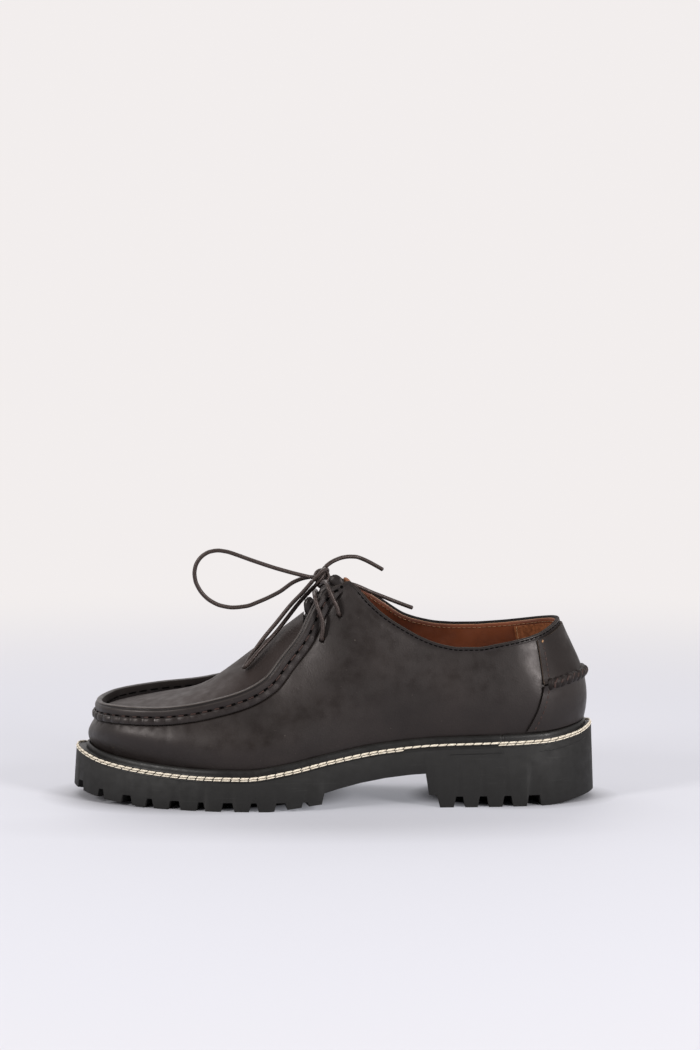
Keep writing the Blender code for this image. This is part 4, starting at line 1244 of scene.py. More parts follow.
def make_outsole(rubber):
    """Moulded sole and heel with draughted sides, arch and lugs, its edges eased."""
    psi = ring_of(SOLE_STATIONS)
    skin = Skin()
    edge = sole_edge(psi)
    low = skin.row(with_height(edge, tread_height(edge[:, 0])))
    top_edge = sole_edge(psi, SOLE_DRAFT)
    high = skin.row(with_height(top_edge, ledge_height(top_edge[:, 0]) - WELT_SIDE))
    skin.band(low, high)
    lid(skin, low)
    lid(skin, high)
    outsole = skin.build("lug_sole", [rubber], "sole_rubber", ["outsole"])
    tools = []
    for k, body in enumerate(tread_cutters()):
        tools.append(body.build(f"tread_cutter_{k}", [], "sole_rubber"))
        cut = outsole.modifiers.new(f"cut_{k}", "BOOLEAN")
        cut.operation = "DIFFERENCE"
        cut.object = tools[-1]
    settle(outsole)
    for tool in tools:
        bpy.data.objects.remove(tool)
    ease = outsole.modifiers.new("ease", "BEVEL")
    ease.width = SOLE_EASE * MM
    ease.segments = 2
    ease.limit_method = "ANGLE"
    ease.angle_limit = math.radians(SOLE_EASE_ANGLE)
    settle(outsole)
    outsole.data.shade_smooth()
    outsole.data.set_sharp_from_angle(angle=math.radians(SOLE_SHARP_ANGLE))


PANEL_COLUMNS = 97
PANEL_LINES = 33
# psi near the panels' front, from which it is found in a few steps
PANEL_GUESS = 0.8
PANEL_GUESSES = 4
# Gaps over the welt's lip and under the binding, half gap at the seam, and share of a panel's
# height that is turned out to the seam, and how far
PANEL_FOOT_GAP = 1.4
PANEL_TOP_GAP = 0.6
PANEL_SEAM_GAP = 0.5
PANEL_TURN = 0.16
PANEL_TURN_OUT = 1.26


def panel_front(share):
    """psi of the heel panels' front edge on the lateral side, at shares of the wall's height."""
    known = np.linspace(0, 1, 21)
    fronts = [front_psi(smooth(PANEL_EDGE, 1, at), at) for at in known]
    return np.interp(share, known, fronts)


def panel_grid(low, high):
    """psi and share of a heel panel's points, from its foot to its top, between two heights."""
    up = np.linspace(0, 1, PANEL_LINES)
    front = np.full(PANEL_LINES, PANEL_GUESS)
    for _ in range(PANEL_GUESSES):
        front = panel_front(share_at_height(front, low(front) + (high(front) - low(front)) * up))
    psi = 1 + np.linspace(-1, 1, PANEL_COLUMNS)[None, :] * (1 - front)[:, None]
    flat = psi.ravel()
    rise = np.repeat(up, PANEL_COLUMNS)
    share = share_at_height(flat, low(flat) + (high(flat) - low(flat)) * rise, samples=60)
    return psi, share.reshape(psi.shape)


def heel_seam_height(psi, side):
    return smooth(HEEL_SEAM, 1, wall(psi, 0.5)[:, 0]) + side * PANEL_SEAM_GAP


def make_heel_panels(leather, glossy, edge):
    """The two panels round the back of the heel, with the edges of their seam turned out."""
    up = np.linspace(0, 1, PANEL_LINES)

    def foot(psi):
        return wall_foot(psi)[:, 2] + PANEL_FOOT_GAP

    def top(psi):
        return top_line(psi)[:, 2] - PANEL_TOP_GAP

    def under(psi):
        return heel_seam_height(psi, -1)

    def over(psi):
        return heel_seam_height(psi, 1)

    for name, low, high, to_seam, finishes in (
        ("heel_panel_lower", foot, under, up, [glossy, glossy]),
        ("heel_panel_upper", over, top, 1 - up, [leather, edge]),
    ):
        psi, share = panel_grid(low, high)
        turn_out = np.clip((to_seam - 1) / PANEL_TURN + 1, 0, 1) ** 2 * PANEL_TURN_OUT
        base, normal = wall(psi, share), wall_normal(psi, share)
        skin = Skin()
        grids = []
        for offset in (PANEL_THICKNESS, 0.0):
            rows = base + normal * (GAP + offset + turn_out)[:, None, None]
            grids.append([skin.row(points) for points in rows])
        skin.sheet(*grids, finishes=(0, 0, 1))
        skin.build(f"{name}_skin", finishes, "upper_leather", [name], sharp_angle=60.0)


HEEL_ROLL_PROUD = 3.4
HEEL_ROLL_HALF = 3.5
HEEL_PINCH_PITCH = 4.6
HEEL_ROLL_STATIONS = 150
HEEL_ROLL_SIDES = 18
# psi from the panels' front to the roll's end, and height of its middle line off the wall
HEEL_ROLL_INSET = 0.006
HEEL_ROLL_OFF = 0.9
# Shape of the roll: power and share of its pinches, its sway, and length and least size of its ends
PINCH_SHAPE = 0.8
ROLL_PINCH = 0.20
ROLL_SWAY = 0.05
ROLL_SWAY_TURN = 0.83
ROLL_END = 2.5
ROLL_LEAST = 0.06
# Tones of the roll in its pinches and between them: the pinches are painted in shade
ROLL_TONES = (0.2, 0.5)
# Whipped threads: length, radius, share of the roll's height, rise, and way along, up and out
WHIP_LENGTH = 5.0
WHIP_RADIUS = 0.6
WHIP_SHARE = 0.72
WHIP_RISE = 0.9
WHIP_WAY = (0.75, 0.55, -0.25)
# Upright threads near the roll's ends: station from the end, push, rise, length, radius
BAR_STATION = 6
BAR_PUSH = 3.3
BAR_RISE = -0.8
BAR_LENGTH = 3.4
BAR_RADIUS = 0.65


def heel_seam_points():
    """Points along the heel's roll, their outward normals and the length run."""
    front = PANEL_GUESS
    for _ in range(PANEL_GUESSES):
        at = np.array([front])
        front = float(panel_front(share_at_height(at, heel_seam_height(at, 0)))[0])
    psi = np.linspace(front + HEEL_ROLL_INSET, 2 - front - HEEL_ROLL_INSET, HEEL_ROLL_STATIONS)
    share = share_at_height(psi, heel_seam_height(psi, 0))
    normal = wall_normal(psi, share)
    points = wall(psi, share) + normal * (GAP + HEEL_ROLL_OFF)
    return points, normal, run_of(points)


def make_heel_seam(leather, brown):
    """The heel's raised seam: a pinched roll of leather with thread whipped over it."""
    points, normal, run = heel_seam_points()
    pinch = np.abs(np.sin(np.pi * run / HEEL_PINCH_PITCH)) ** PINCH_SHAPE
    to_end = np.clip(np.minimum(run, run[-1] - run) / ROLL_END, 0, 1)
    close = np.sqrt(np.maximum(ROLL_LEAST, 1 - (1 - to_end) ** 2))
    size = (1 - ROLL_PINCH + ROLL_PINCH * pinch + ROLL_SWAY * np.sin(run * ROLL_SWAY_TURN)) * close
    tones = ROLL_TONES[0] + (ROLL_TONES[1] - ROLL_TONES[0]) * pinch
    turn = np.linspace(0, 2 * np.pi, HEEL_ROLL_SIDES, endpoint=False)[:, None]
    skin = Skin()
    rings = []
    for point, out, share, tone in zip(points, normal, size, tones):
        ring = np.cos(turn) * out * HEEL_ROLL_PROUD + np.sin(turn) * (0.0, 0.0, HEEL_ROLL_HALF)
        rings.append(skin.row(point + ring * share, tone))
    skin.closed(rings)
    skin.build("heel_seam_roll", [leather], "upper_leather")

    places = np.arange(1, int(run[-1] / HEEL_PINCH_PITCH)) * HEEL_PINCH_PITCH
    picked = np.searchsorted(run, places)
    along = unit(np.gradient(points, axis=0))
    whips = Skin()
    centres = points[picked] + normal[picked] * (HEEL_ROLL_PROUD * WHIP_SHARE) + (0.0, 0.0, WHIP_RISE)
    ways = along[picked] * WHIP_WAY[0] + np.array((0.0, 0.0, WHIP_WAY[1])) + normal[picked] * WHIP_WAY[2]
    capsules(whips, centres, ways, WHIP_LENGTH, WHIP_RADIUS, ups=normal[picked])
    whips.build("heel_seam_whips", [brown], "lace_cord")
    bars = Skin()
    ends = np.array([BAR_STATION, len(points) - 1 - BAR_STATION])
    centres = points[ends] + normal[ends] * BAR_PUSH + (0, 0, BAR_RISE)
    capsules(bars, centres, [(0, 0, 1.0)] * 2, BAR_LENGTH, BAR_RADIUS, ups=normal[ends])
    bars.build("heel_seam_bars", [brown], "lace_cord")


# Stitches of the panels' front edges: shares of the height, number for the whole height, inset in
# psi, height of their middles off the panel, length, radius
PANEL_STITCH_SHARES = [(0.05, 0.47), (0.60, 0.955)]
PANEL_STITCHES = 22
PANEL_STITCH_INSET = 3.0 / 230.0
PANEL_STITCH_OFF = 0.02
PANEL_STITCH_LENGTH = 1.9
PANEL_STITCH_RADIUS = 0.28
# The thread's end: share of the height, inset, height off the panel, way, length, radius
THREAD_END_SHARE = 0.965
THREAD_END_INSET = 0.012
THREAD_END_OFF = 0.2
THREAD_END_WAY = (0.2, 0.0, 1.0)
THREAD_END_LENGTH = 1.5
THREAD_END_RADIUS = 0.5


def make_panel_stitches(brown, tan):
    """Stitches up the heel panels' front edges, and the thread's end at the collar."""
    skin = Skin()
    face = GAP + PANEL_THICKNESS
    for first, last in PANEL_STITCH_SHARES:
        share = np.linspace(first, last, int((last - first) * PANEL_STITCHES))
        lateral = panel_front(share) + PANEL_STITCH_INSET
        for psi in (lateral, 2 - lateral):
            centres = off_wall(psi, share, face + PANEL_STITCH_OFF)
            ways, ups = np.gradient(centres, axis=0), wall_normal(psi, share)
            capsules(skin, centres, ways, PANEL_STITCH_LENGTH, PANEL_STITCH_RADIUS, ups=ups, flat=1.2)
    skin.build("heel_panel_stitches", [brown], "lace_cord")
    ends = Skin()
    psi = panel_front(np.array([THREAD_END_SHARE])) + THREAD_END_INSET
    psi = np.concatenate([psi, 2 - psi])
    centres = off_wall(psi, np.full(2, THREAD_END_SHARE), face + THREAD_END_OFF)
    capsules(ends, centres, [THREAD_END_WAY] * 2, THREAD_END_LENGTH, THREAD_END_RADIUS)
    ends.build("heel_thread_ends", [tan], "lace_cord")


# Rows of the sock from its edge to its middle: share of the way there, and rise
SOCK_ROWS = [(0.0, -0.8), (0.012, -0.25), (0.04, 0.0), (0.2, -0.2), (0.5, -0.7), (0.8, -0.9)]


def make_insole(lining):
    """Sock over the footbed, a little dished."""
    skin = Skin()
    psi = ring_of([(0.5, 60), (1.0, 60)])
    outline = feather(psi, UPPER_WALL + 2 * GAP)
    base = sole_top(outline[:, 0]) + GAP
    middle = np.stack([outline[:, 0], np.full(len(psi), 0.0)], -1)
    rows = [skin.row(with_height(outline, base))]
    for share, rise in SOCK_ROWS:
        points = outline + (middle - outline) * share
        rows.append(skin.row(with_height(points, sole_top(points[:, 0]) + GAP + INSOLE_THICKNESS + rise)))
    skin.grid(rows)
    lid(skin, rows[0])
    lid(skin, rows[-1])
    skin.build("sock", [lining], "lining_leather", ["insole"], sharp_angle=60.0)


TONGUE_ROWS = 44
TONGUE_COLUMNS = 49
# Push and rise of the tongue's edges from the seam line, how far its front lies before the line's
# point, gap under the apron, and power of its arch
TONGUE_EDGE = (-4.6, -3.4)
TONGUE_LEAD = 4.0
TONGUE_GAP = 0.9
TONGUE_ARCH = 2.4


def tongue_row(x, offset):
    """Points across the tongue where its middle line has this x, moved off its face by offset."""
    psi = np.linspace(0.3, 0.62, 300)
    at = np.interp(x, top_line(psi)[:, 0] - TONGUE_LEAD, psi)
    lateral, medial = edge_point(np.array([at, 2 - at]), TONGUE_EDGE, TONGUE_EDGE)
    share = np.linspace(0, 1, TONGUE_COLUMNS)[:, None]
    points = lateral + (medial - lateral) * share
    middle = (lateral + medial) / 2
    crown = smooth(SPINE, 1, middle[0]) - UPPER_WALL - TONGUE_GAP + offset - middle[2]
    to_edge = np.abs(2 * share[:, 0] - 1) ** TONGUE_ARCH
    points[:, 2] += crown * (1 - to_edge) + offset * to_edge
    return points


def make_tongue(leather, lining):
    """Tongue under the lacing."""
    skin = Skin()
    places = np.linspace(TONGUE_FRONT, TONGUE_BACK, TONGUE_ROWS)
    grids = [[skin.row(tongue_row(x, offset)) for x in places] for offset in (0.0, -TONGUE_THICKNESS)]
    skin.sheet(*grids, finishes=(0, 1, 0))
    skin.build("tongue_leather", [leather, lining], "upper_leather", ["tongue"], sharp_angle=60.0)


LACE_SIDES = 14
LACE_RING_STEP = 0.45
BRAID_TURN = 2.1
BRAID_DEPTH = 0.035
# How much paler the braid's raised strands are painted, a painted highlight
BRAID_PALE = 0.3
# Any way that no cord starts along, and least size of a cord's rounded end
SIDE_START = (0.3, 0.5, 0.8)
LACE_END_LEAST = 0.12


def tube(skin, points, radius, round_ends=True):
    """Adds a braided round cord along closely spaced points."""
    points = np.asarray(points, float)
    along = unit(np.gradient(points, axis=0))
    run = run_of(points)
    turn = np.linspace(0, 2 * np.pi, LACE_SIDES, endpoint=False)
    side = np.cross(along[0], SIDE_START)
    rings = []
    last = run[-1]
    for point, way, at in zip(points, along, run):
        side = unit(side - way * np.dot(side, way))
        other = np.cross(way, side)
        braid = np.cos(3 * turn + BRAID_TURN * at) * np.cos(3 * turn - BRAID_TURN * at)
        end = min(at, last - at) / (radius * 0.5)
        close = math.sqrt(max(LACE_END_LEAST, 1 - (1 - min(1.0, end)) ** 2)) if round_ends else 1.0
        size = radius * close * (1 + BRAID_DEPTH * braid)[:, None]
        circle = (np.cos(turn)[:, None] * side + np.sin(turn)[:, None] * other) * size
        rings.append(skin.row(point + circle, PLAIN_TONE + BRAID_PALE * np.clip(braid, 0, 1)))
    skin.closed(rings)


def make_cords(cord):
    """The bow's two loops and two ends, each a free cord of the photograph's length."""
    radius = LACE_DIAMETER / 2
    for name, route, far_end in (
        ("lace_loop_front", LOOP_FRONT, "knot"),
        ("lace_loop_side", LOOP_SIDE, "knot"),
        ("lace_end_up", END_UP, "bare"),
        ("lace_end_back", END_BACK, "bare"),
    ):
        skin = Skin()
        points = eased_route(route, LACE_RING_STEP)
        tube(skin, points, radius)
        piece = skin.build(f"{name}_cord", [cord], "lace_cord", [name])


# The lace at an eyelet: its gap inside the wall, depth in the hole, push and rise over it; and how
# far it bows inwards between two eyelets
LACE_INSIDE_GAP = 0.4
LACE_IN_HOLE = 0.6
LACE_OVER_HOLE = 1.1
LACE_RISE = np.array((0.0, 0.0, 0.5))
LACE_BOW = 0.8


def make_crossings(cord):
    """The lace's two bars across the throat, in at the eyelets and up inside each facing."""
    radius = LACE_DIAMETER / 2
    holes = eyelet_places()
    for name, route, level in (
        ("lace_crossing_lower", LOWER_CROSSING, 0),
        ("lace_crossing_upper", UPPER_CROSSING, 1),
    ):
        skin = Skin()
        inside = UPPER_WALL + radius + LACE_INSIDE_GAP
        start, end = [
            [at - out * inside, at - out * LACE_IN_HOLE, at + out * LACE_OVER_HOLE + LACE_RISE]
            for at, out in (holes[level], holes[level + 2])
        ]
        tube(skin, eased_route([*start, *route[1:-1], *end[::-1]], LACE_RING_STEP), radius)
        if level == 1:
            for lower, upper in ((holes[0], holes[1]), (holes[2], holes[3])):
                run = [lower[0] - lower[1] * inside, upper[0] - upper[1] * inside]
                middle = (run[0] + run[1]) / 2 - lower[1] * LACE_BOW
                tube(skin, eased_route([run[0], middle, run[1]], LACE_RING_STEP), radius)
        skin.build(f"{name}_cord", [cord], "lace_cord", [name])


def arc(centre, u, v, radii, first, last, drift, count=60):
    """Points round an ellipse with axes u and v, drifting along a vector."""
    turn = np.linspace(first, last, count)[:, None]
    share = np.linspace(-0.5, 0.5, count)[:, None]
    return (
        np.asarray(centre, float)
        + np.cos(turn) * np.asarray(u, float) * radii[0]
        + np.sin(turn) * np.asarray(v, float) * radii[1]
        + share * np.asarray(drift, float)
    )


# Strands of the knot, each from where its cord leaves: x, y, z
KNOT_STRANDS = [
    [LOOP_SIDE[0], (-8.7, -7.0, 128.6), (-6.3, -6.2, 131.2), (-4.2, -3.0, 132.2), (-3.2, 0.8, 130.6)],
    [LOOP_SIDE[-1], (-8.2, -6.0, 125.2), (-6.4, -5.2, 127.8), (-5.0, -3.0, 129.8)],
    [LOOP_FRONT[0], (-10.2, -3.6, 127.4), (-7.6, -2.0, 127.4)],
    [LOOP_FRONT[-1], (-10.2, 0.9, 127.2), (-7.6, 0.4, 127.4)],
    [END_UP[0], (-5.6, -1.5, 131.6), (-6.6, -1.2, 129.2)],
    [END_BACK[0], (-3.6, 0.8, 127.0), (-5.6, 0.2, 127.6)],
]
# Core of the knot: its middle from the knot's centre, and half axes
KNOT_CORE = ((0.0, 0.0, -2.2), (3.3, 2.6, 5.4))
# Wraps of the knot: centre, first and second axis, radii, first and last turn, drift
KNOT_WRAPS = [
    ((-6.5, -2.8, 127.7), (1.0, 0.1, 0.1), (-0.1, 0.3, 0.95), (3.7, 3.8), -1.1, 3.7, (0.0, 2.4, 0.0)),
    ((-6.6, 0.6, 127.4), (0.95, 0.2, -0.2), (0.2, 0.2, 0.95), (3.5, 3.6), 0.0, 6.2, (0.0, 1.2, 0.0)),
]


def make_knot(cord):
    """Bow knot: wraps round the middle, the loops' strands over the front, and the cords running in."""
    skin = Skin()
    radius = LACE_DIAMETER / 2
    blob(skin, np.add(KNOT_CENTRE, KNOT_CORE[0]), np.diag(KNOT_CORE[1]))
    for centre, u, v, radii, first, last, drift in KNOT_WRAPS:
        tube(skin, arc(centre, u, v, radii, first, last, drift), radius)
    for strand in KNOT_STRANDS:
        tube(skin, eased_route(strand, LACE_RING_STEP), radius, round_ends=False)
    skin.build("lace_knot_wraps", [cord], "lace_cord", ["lace_knot"])


# Tilt of a lump's first ring, in radians from its pole
BLOB_TILT = 0.12


def blob(skin, centre, axes, tone=PLAIN_TONE, wrinkle=0.0, turns=20, rings=13):
    """Adds a rounded lump with three half axes, its surface wrinkled a little."""
    axes = np.array(axes, float)
    around = np.linspace(0, 2 * np.pi, turns, endpoint=False)
    rows = []
    for tilt in np.linspace(BLOB_TILT, np.pi - BLOB_TILT, rings):
        bulge = 1 + wrinkle * np.sin(5 * around + 3 * tilt) * np.sin(7 * tilt)
        flat = np.stack([np.cos(around) * np.sin(tilt), np.sin(around) * np.sin(tilt)], -1)
        ball = np.concatenate([flat, np.full((turns, 1), np.cos(tilt))], -1) * bulge[:, None]
        rows.append(skin.row(np.asarray(centre, float) + ball @ axes, tone))
    skin.closed(rows)


# Lumps at the top of the facings: centre, with y for either side, and half axes
FACING_LOBE = ((2.2, 20.6, 126.2), ((4.4, 0.6, 0.0), (0.0, 1.7, 0.0), (-1.0, 0.3, 4.4)))
FACING_FOLD = ((-4.2, 20.8, 121.0), ((3.2, 0.2, 3.8), (0.0, 2.2, 0.0), (-2.6, 0.0, 2.2)))
APRON_EAR = ((-13.6, 20.2, 112.6), ((3.0, 0.0, 0.8), (0.0, 2.2, 0.0), (-0.6, 0.4, 5.0)))
# A black lump in each facing's hole paints the shade inside it
FACING_HOLE = ((5.0, 22.6, 123.9), np.diag((1.0, 0.7, 1.1)))
LINING_CORNER = ((8.9, 19.0, 125.4), ((2.8, 0.2, -1.4), (0.0, 1.0, 0.0), (-0.9, 0.2, 3.4)))
# How much lower the medial facing ends
FACING_DROP = 4.6


def make_facing_ends(leather, lining, black):
    """The rounded ends of the facings, the apron's curled corners, the lining's corners, and black lumps
    that paint the shade in the facings' holes.
    """
    # Black lumps paint the shade in the facings' holes
    hole = Skin()
    for side, drop in ((-1, 0.0), (1, FACING_DROP)):
        place = np.array(FACING_HOLE[0]) * (1, side, 1) - (0, 0, drop)
        blob(hole, place, FACING_HOLE[1], turns=12, rings=7)
    hole.build("facing_hole_shades", [black], "upper_leather")
    # Tones under plain paint shade on the lobes, folds and ears; the lining's corners are a little paler
    for name, (centre, axes), material, tone, wrinkle in (
        ("facing_lobes", FACING_LOBE, leather, 0.25, 0.12),
        ("facing_folds", FACING_FOLD, leather, 0.3, 0.12),
        ("apron_ears", APRON_EAR, leather, 0.3, 0.12),
        ("lining_corners", LINING_CORNER, lining, 0.62, 0.05),
    ):
        skin = Skin()
        for side, drop in ((-1, 0.0), (1, FACING_DROP)):
            place = np.array(centre) * (1, side, 1) - (0, 0, drop)
            blob(skin, place, np.array(axes) * (1, side, 1), tone, wrinkle)
        slot = "lining_leather" if material is lining else "upper_leather"
        skin.build(name, [material], slot)


def dashes(name, psi, line, length, radius, material, slot="lace_cord", step=0.0015):
    """A row of stitches round the shoe, one at each psi, on a line off the ridge and the binding."""
    before, at, after = [edge_point(psi + way * step, *line) for way in (-1, 0, 1)]
    skin = Skin()
    capsules(skin, at, after - before, length, radius)
    skin.build(name, [material], slot)


# Length of the apron's seam on each side of the toe's middle where the holes are pulled shut
TOE_SEAM = 95.0
# Lines of the stitches: push and rise from the ridge, and from the binding
SEAM_GROOVE = ((0.45, 4.5), (0.2, 0.3))
RIDGE_INNER_FOOT = ((-5.2, 6.2), (-5.2, 6.2))
COLLAR_LINE = ((0.0, 0.0), (0.02, 1.38))
LINING_LINE = ((-6.0, 0.0), (-2.62, -0.5))
# Places along x where the seam's and the collar's stitches begin, and pitch of the collar's
SEAM_START_X = 4.0
COLLAR_START_X = 13.0
COLLAR_STITCH_PITCH = 3.0


def make_seam_stitches(brown, black, fawn):
    """Threads of the apron's seam, the collar and the lining, and black lumps that paint the shade in the
    holes of the apron's seam.
    """
    throat = apron_psi(SEAM_START_X)
    seam = evenly(top_line, -throat, throat, SEAM_STITCH_PITCH)
    dashes("apron_stitches", seam, SEAM_GROOVE, 4.6, 0.42, brown)
    # Black lumps paint the shade in the holes between the seam's stitches
    holes = seam + (seam[1] - seam[0]) / 2
    at_side = seam_run(np.mod(holes, 2.0)) > TOE_SEAM
    dashes("apron_hole_shades", holes[at_side], SEAM_GROOVE, 2.6, 0.58, black)
    dashes("apron_toe_hole_shades", holes[~at_side], SEAM_GROOVE, 2.4, 0.46, black)
    base = evenly(top_line, -apron_psi(APRON_END), apron_psi(APRON_END), SEAM_STITCH_PITCH)
    dashes("apron_inner_stitches", base, RIDGE_INNER_FOOT, 4.4, 0.5, black)
    start = apron_psi(COLLAR_START_X)
    edge = evenly(top_line, start, 2 - start, COLLAR_STITCH_PITCH)
    dashes("collar_stitches", edge, COLLAR_LINE, 2.0, 0.3, black)
    dashes("lining_stitches", edge, LINING_LINE, 2.0, 0.2, fawn, "lining_leather")


HEEL_GRIP_X = 107.0
# Shares of the wall's height that the grip covers, depths of its face and back under the wall's
# inside, and its stitches' shares, inset in psi, length and radius
GRIP_SHARES = np.linspace(0.25, 0.985, 30)
GRIP_STATIONS = 90
GRIP_DEPTHS = (0.6, 0.1)
GRIP_STITCH_SHARES = np.linspace(0.5, 0.97, 14)
GRIP_STITCH_INSET = 0.006
GRIP_STITCH_LENGTH = 2.0
GRIP_STITCH_RADIUS = 0.22


def make_heel_grip(material, tan):
    """Suede lining round the inside of the heel, sewn down its front edges."""
    skin = Skin()
    front = front_psi(HEEL_GRIP_X, 1.0)
    psi = np.linspace(front, 2 - front, GRIP_STATIONS)
    depths = [-UPPER_WALL - depth for depth in GRIP_DEPTHS]
    skin.sheet(*[[skin.row(off_wall(psi, share, depth)) for share in GRIP_SHARES] for depth in depths])
    skin.build("heel_grip", [material], "lining_leather", sharp_angle=60.0)
    stitches = Skin()
    first = front + GRIP_STITCH_INSET
    for edge in (first, 2 - first):
        at = np.full(len(GRIP_STITCH_SHARES), edge)
        centres = off_wall(at, GRIP_STITCH_SHARES, depths[0])
        ways, ups = np.gradient(centres, axis=0), wall_normal(at, GRIP_STITCH_SHARES)
        capsules(stitches, centres, ways, GRIP_STITCH_LENGTH, GRIP_STITCH_RADIUS, ups=ups)
    stitches.build("heel_grip_stitches", [tan], "lining_leather")


FLOOR_RADIUS = 40.0
FLOOR_SIDES = 96
FLOOR_COLOUR = (0.375, 0.378, 0.408, 1.0)
# The floor's glow is painted light that lifts the shadows on it
FLOOR_GLOW = (0.212, 0.214, 0.234, 1.0)
WALL_COLOUR = (0.89, 0.855, 0.85, 1.0)
# Distances in metres between which the floor fades into the wall
FLOOR_FADE = (0.36, 1.1)
# Ovals of the floor that the shoe keeps from the light, painted as shadow by taking the glow away: centre,
# half axes in metres, share of them from which the glow comes back, and glow that is left inside
FLOOR_SHADOW_PATCHES = [
    ((-0.080, 0.001, 0.0), (0.074, 0.053, 1.0), 0.88, 0.0),
    ((0.104, 0.0, 0.0), (0.050, 0.038, 1.0), 0.88, 0.0),
    ((-0.020, -0.095, 0.0), (0.150, 0.040, 1.0), 0.2, 0.6),
]
PATCH_END = 1.25


def floor_finish():
    """Pale floor with a painted glow that lifts its shadows, less under and in front of the shoe as
    painted shadow, fading into the wall far off.
    """
    finish = Finish("studio_floor", 0.7, specular=0.2)
    finish.shader.inputs["Base Color"].default_value = FLOOR_COLOUR
    finish.shader.inputs["Emission Color"].default_value = FLOOR_GLOW
    glow = 1.0
    for centre, size, start, left in FLOOR_SHADOW_PATCHES:
        inputs = {"Vector": finish.place, "Location": centre, "Scale": size}
        oval = finish.node("ShaderNodeMapping", inputs, vector_type="TEXTURE").outputs["Vector"]
        lit = finish.spread(finish.length(oval), start, PATCH_END, left)
        glow = finish.node("ShaderNodeMath", {0: glow, 1: lit}, operation="MULTIPLY").outputs["Value"]
    finish.link(glow, "Emission Strength")
    inputs = {"Value": finish.length(finish.place), "From Min": FLOOR_FADE[0], "From Max": FLOOR_FADE[1]}
    fade = finish.node("ShaderNodeMapRange", inputs, interpolation_type="SMOOTHSTEP").outputs["Result"]
    far = finish.node("ShaderNodeEmission", {"Color": WALL_COLOUR}).outputs["Emission"]
    ends = {0: fade, 1: finish.shader.outputs["BSDF"], 2: far}
    both = finish.node("ShaderNodeMixShader", ends).outputs["Shader"]
    finish.tree.links.new(both, finish.tree.nodes["Material Output"].inputs["Surface"])
    return finish.material


def make_stage():
    """A round pale floor."""
    mesh = bpy.data.meshes.new("floor")
    edit = bmesh.new()
    bmesh.ops.create_circle(edit, cap_ends=True, radius=FLOOR_RADIUS, segments=FLOOR_SIDES)
    edit.to_mesh(mesh)
    edit.free()
    mesh.materials.append(floor_finish())
    floor = bpy.data.objects.new("floor", mesh)
    bpy.context.scene.collection.objects.link(floor)


# Soft lights: name, place, aim, size across and up in metres, power, colour
LIGHTS = [
    ("left", (-1.5, -1.2, 0.9), (-0.08, 0.0, 0.04), 0.45, 0.8, 31.0, (1.0, 0.98, 0.96)),
    ("right", (1.27, -1.22, 0.75), (0.10, 0.0, 0.06), 0.45, 0.9, 31.5, (1.0, 0.98, 0.97)),
    ("back", (-0.3, 1.3, 1.6), (0.0, 0.0, 0.0), 1.8, 1.0, 14.0, (1.0, 0.99, 0.99)),
]
# The studio's wall behind the shoe, the dimmer room behind the camera, and the stretch of the view's
# way along y in which one turns into the other
WALL_STRENGTH = 1.0
ROOM_STRENGTH = 0.25
ROOM_TO_WALL = (-0.75, 0.15)


def make_lights():
    scene = bpy.context.scene
    for name, place, aim, across, up, power, colour in LIGHTS:
        lamp = bpy.data.lights.new(name, "AREA")
        lamp.shape = "RECTANGLE"
        lamp.size = across
        lamp.size_y = up
        lamp.energy = power
        lamp.color = colour
        light = bpy.data.objects.new(name, lamp)
        scene.collection.objects.link(light)
        light.location = place
        way = Vector(aim) - Vector(place)
        light.rotation_euler = way.to_track_quat("-Z", "Y").to_euler()
    world = bpy.data.worlds.new("studio")
    scene.world = world
    world.use_nodes = True
    tree = world.node_tree
    background = tree.nodes["Background"]
    background.inputs["Color"].default_value = WALL_COLOUR
    way = add_node(tree, "ShaderNodeTexCoord").outputs["Generated"]
    along = add_node(tree, "ShaderNodeSeparateXYZ", {0: way}).outputs["Y"]
    inputs = {"Value": along, "To Min": ROOM_STRENGTH, "To Max": WALL_STRENGTH}
    inputs.update({"From Min": ROOM_TO_WALL[0], "From Max": ROOM_TO_WALL[1]})
    dim = add_node(tree, "ShaderNodeMapRange", inputs).outputs["Result"]
    tree.links.new(dim, background.inputs["Strength"])
    scene.view_settings.view_transform = "Standard"


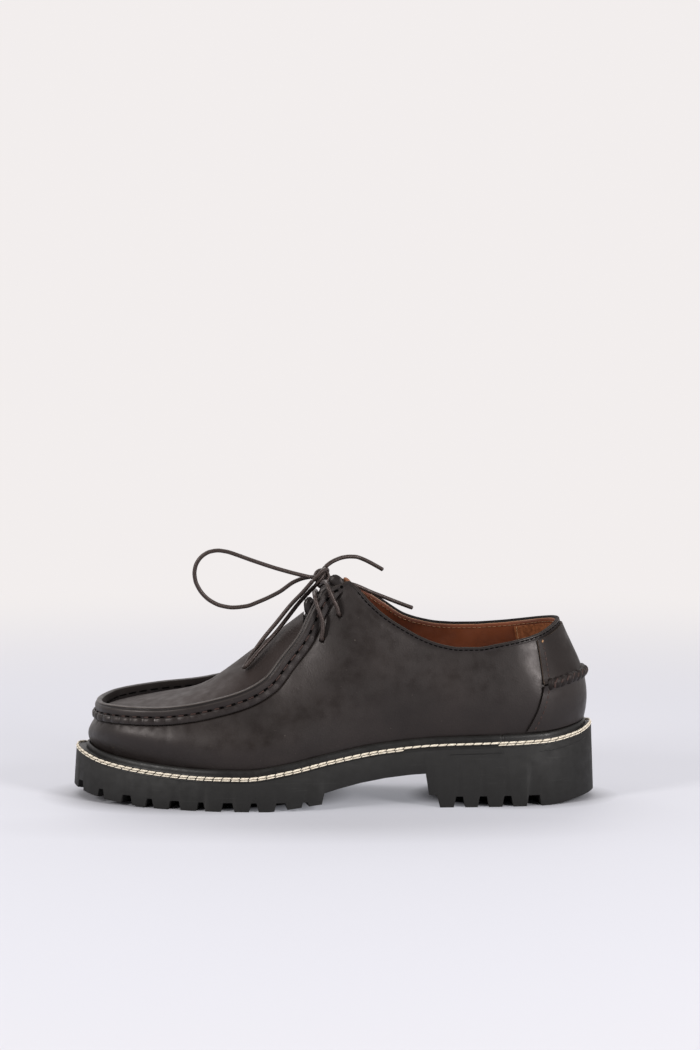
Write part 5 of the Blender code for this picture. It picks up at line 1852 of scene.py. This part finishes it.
def make_camera():
    """Camera at the photograph's place."""
    pitch = math.radians(CAMERA_PITCH)
    data = bpy.data.cameras.new("camera")
    data.sensor_fit = "HORIZONTAL"
    data.sensor_width = SENSOR_WIDTH
    data.lens = SENSOR_WIDTH * CAMERA_DISTANCE / MM_PER_PIXEL / IMAGE_WIDTH
    camera = bpy.data.objects.new("camera", data)
    bpy.context.scene.collection.objects.link(camera)
    x, y, z = CAMERA_AIM
    back, rise = CAMERA_DISTANCE * math.cos(pitch), CAMERA_DISTANCE * math.sin(pitch)
    camera.location = (x * MM, (y - back) * MM, (z + rise) * MM)
    camera.rotation_euler = (math.pi / 2 - pitch, 0.0, 0.0)
    bpy.context.scene.camera = camera


def main():
    make_camera()
    make_stage()
    make_lights()
    leather = upper_leather("waxed_leather", 0.45, 0.37, PLAIN_SHEEN)
    # The apron's leather is painted 1.8 times paler, for the light that falls on its upturned face
    apron_leather = upper_leather("apron_leather", 0.56, 0.26, WARM_SHEEN, 1.8)
    heel_leather = upper_leather("heel_leather", 0.55, 0.20, PLAIN_SHEEN)
    seam_leather = upper_leather("seam_leather", 0.78, 0.15, PLAIN_SHEEN)
    lining, edge = lining_leather(), raw_edge()
    cord = lace_cord()
    brown = thread("brown_thread", (0.014, 0.0058, 0.0044), (0.042, 0.018, 0.013), 0.35)
    # Black thread, also used for lumps that paint the shade in holes
    black = thread("black_thread_and_hole_shade", (0.0008, 0.0006, 0.0006), (0.0022, 0.0018, 0.0017), 0.35, specular=0.02)
    tan = thread("tan_thread", (0.20, 0.10, 0.045), (0.40, 0.22, 0.11), 0.3)
    fawn = thread("fawn_thread", (0.11, 0.055, 0.028), (0.24, 0.13, 0.065), 0.3)
    cream = thread("cream_thread", (0.46, 0.40, 0.31), (0.76, 0.70, 0.59), 0.4)
    make_cords(cord)
    make_crossings(cord)
    make_knot(cord)
    make_upper(leather, lining, seam_leather)
    make_apron(apron_leather, lining)
    make_heel_panels(heel_leather, leather, edge)
    make_heel_seam(heel_leather, brown)
    make_panel_stitches(brown, tan)
    make_facing_ends(leather, lining, black)
    welt = welt_rubber()
    make_welt(welt)
    make_welt_stitches(cream)
    make_outsole(sole_rubber())
    make_strip_lines(welt)
    make_insole(lining)
    make_heel_grip(suede(), tan)
    make_tongue(leather, lining)
    make_seam_stitches(brown, black, fawn)


main()
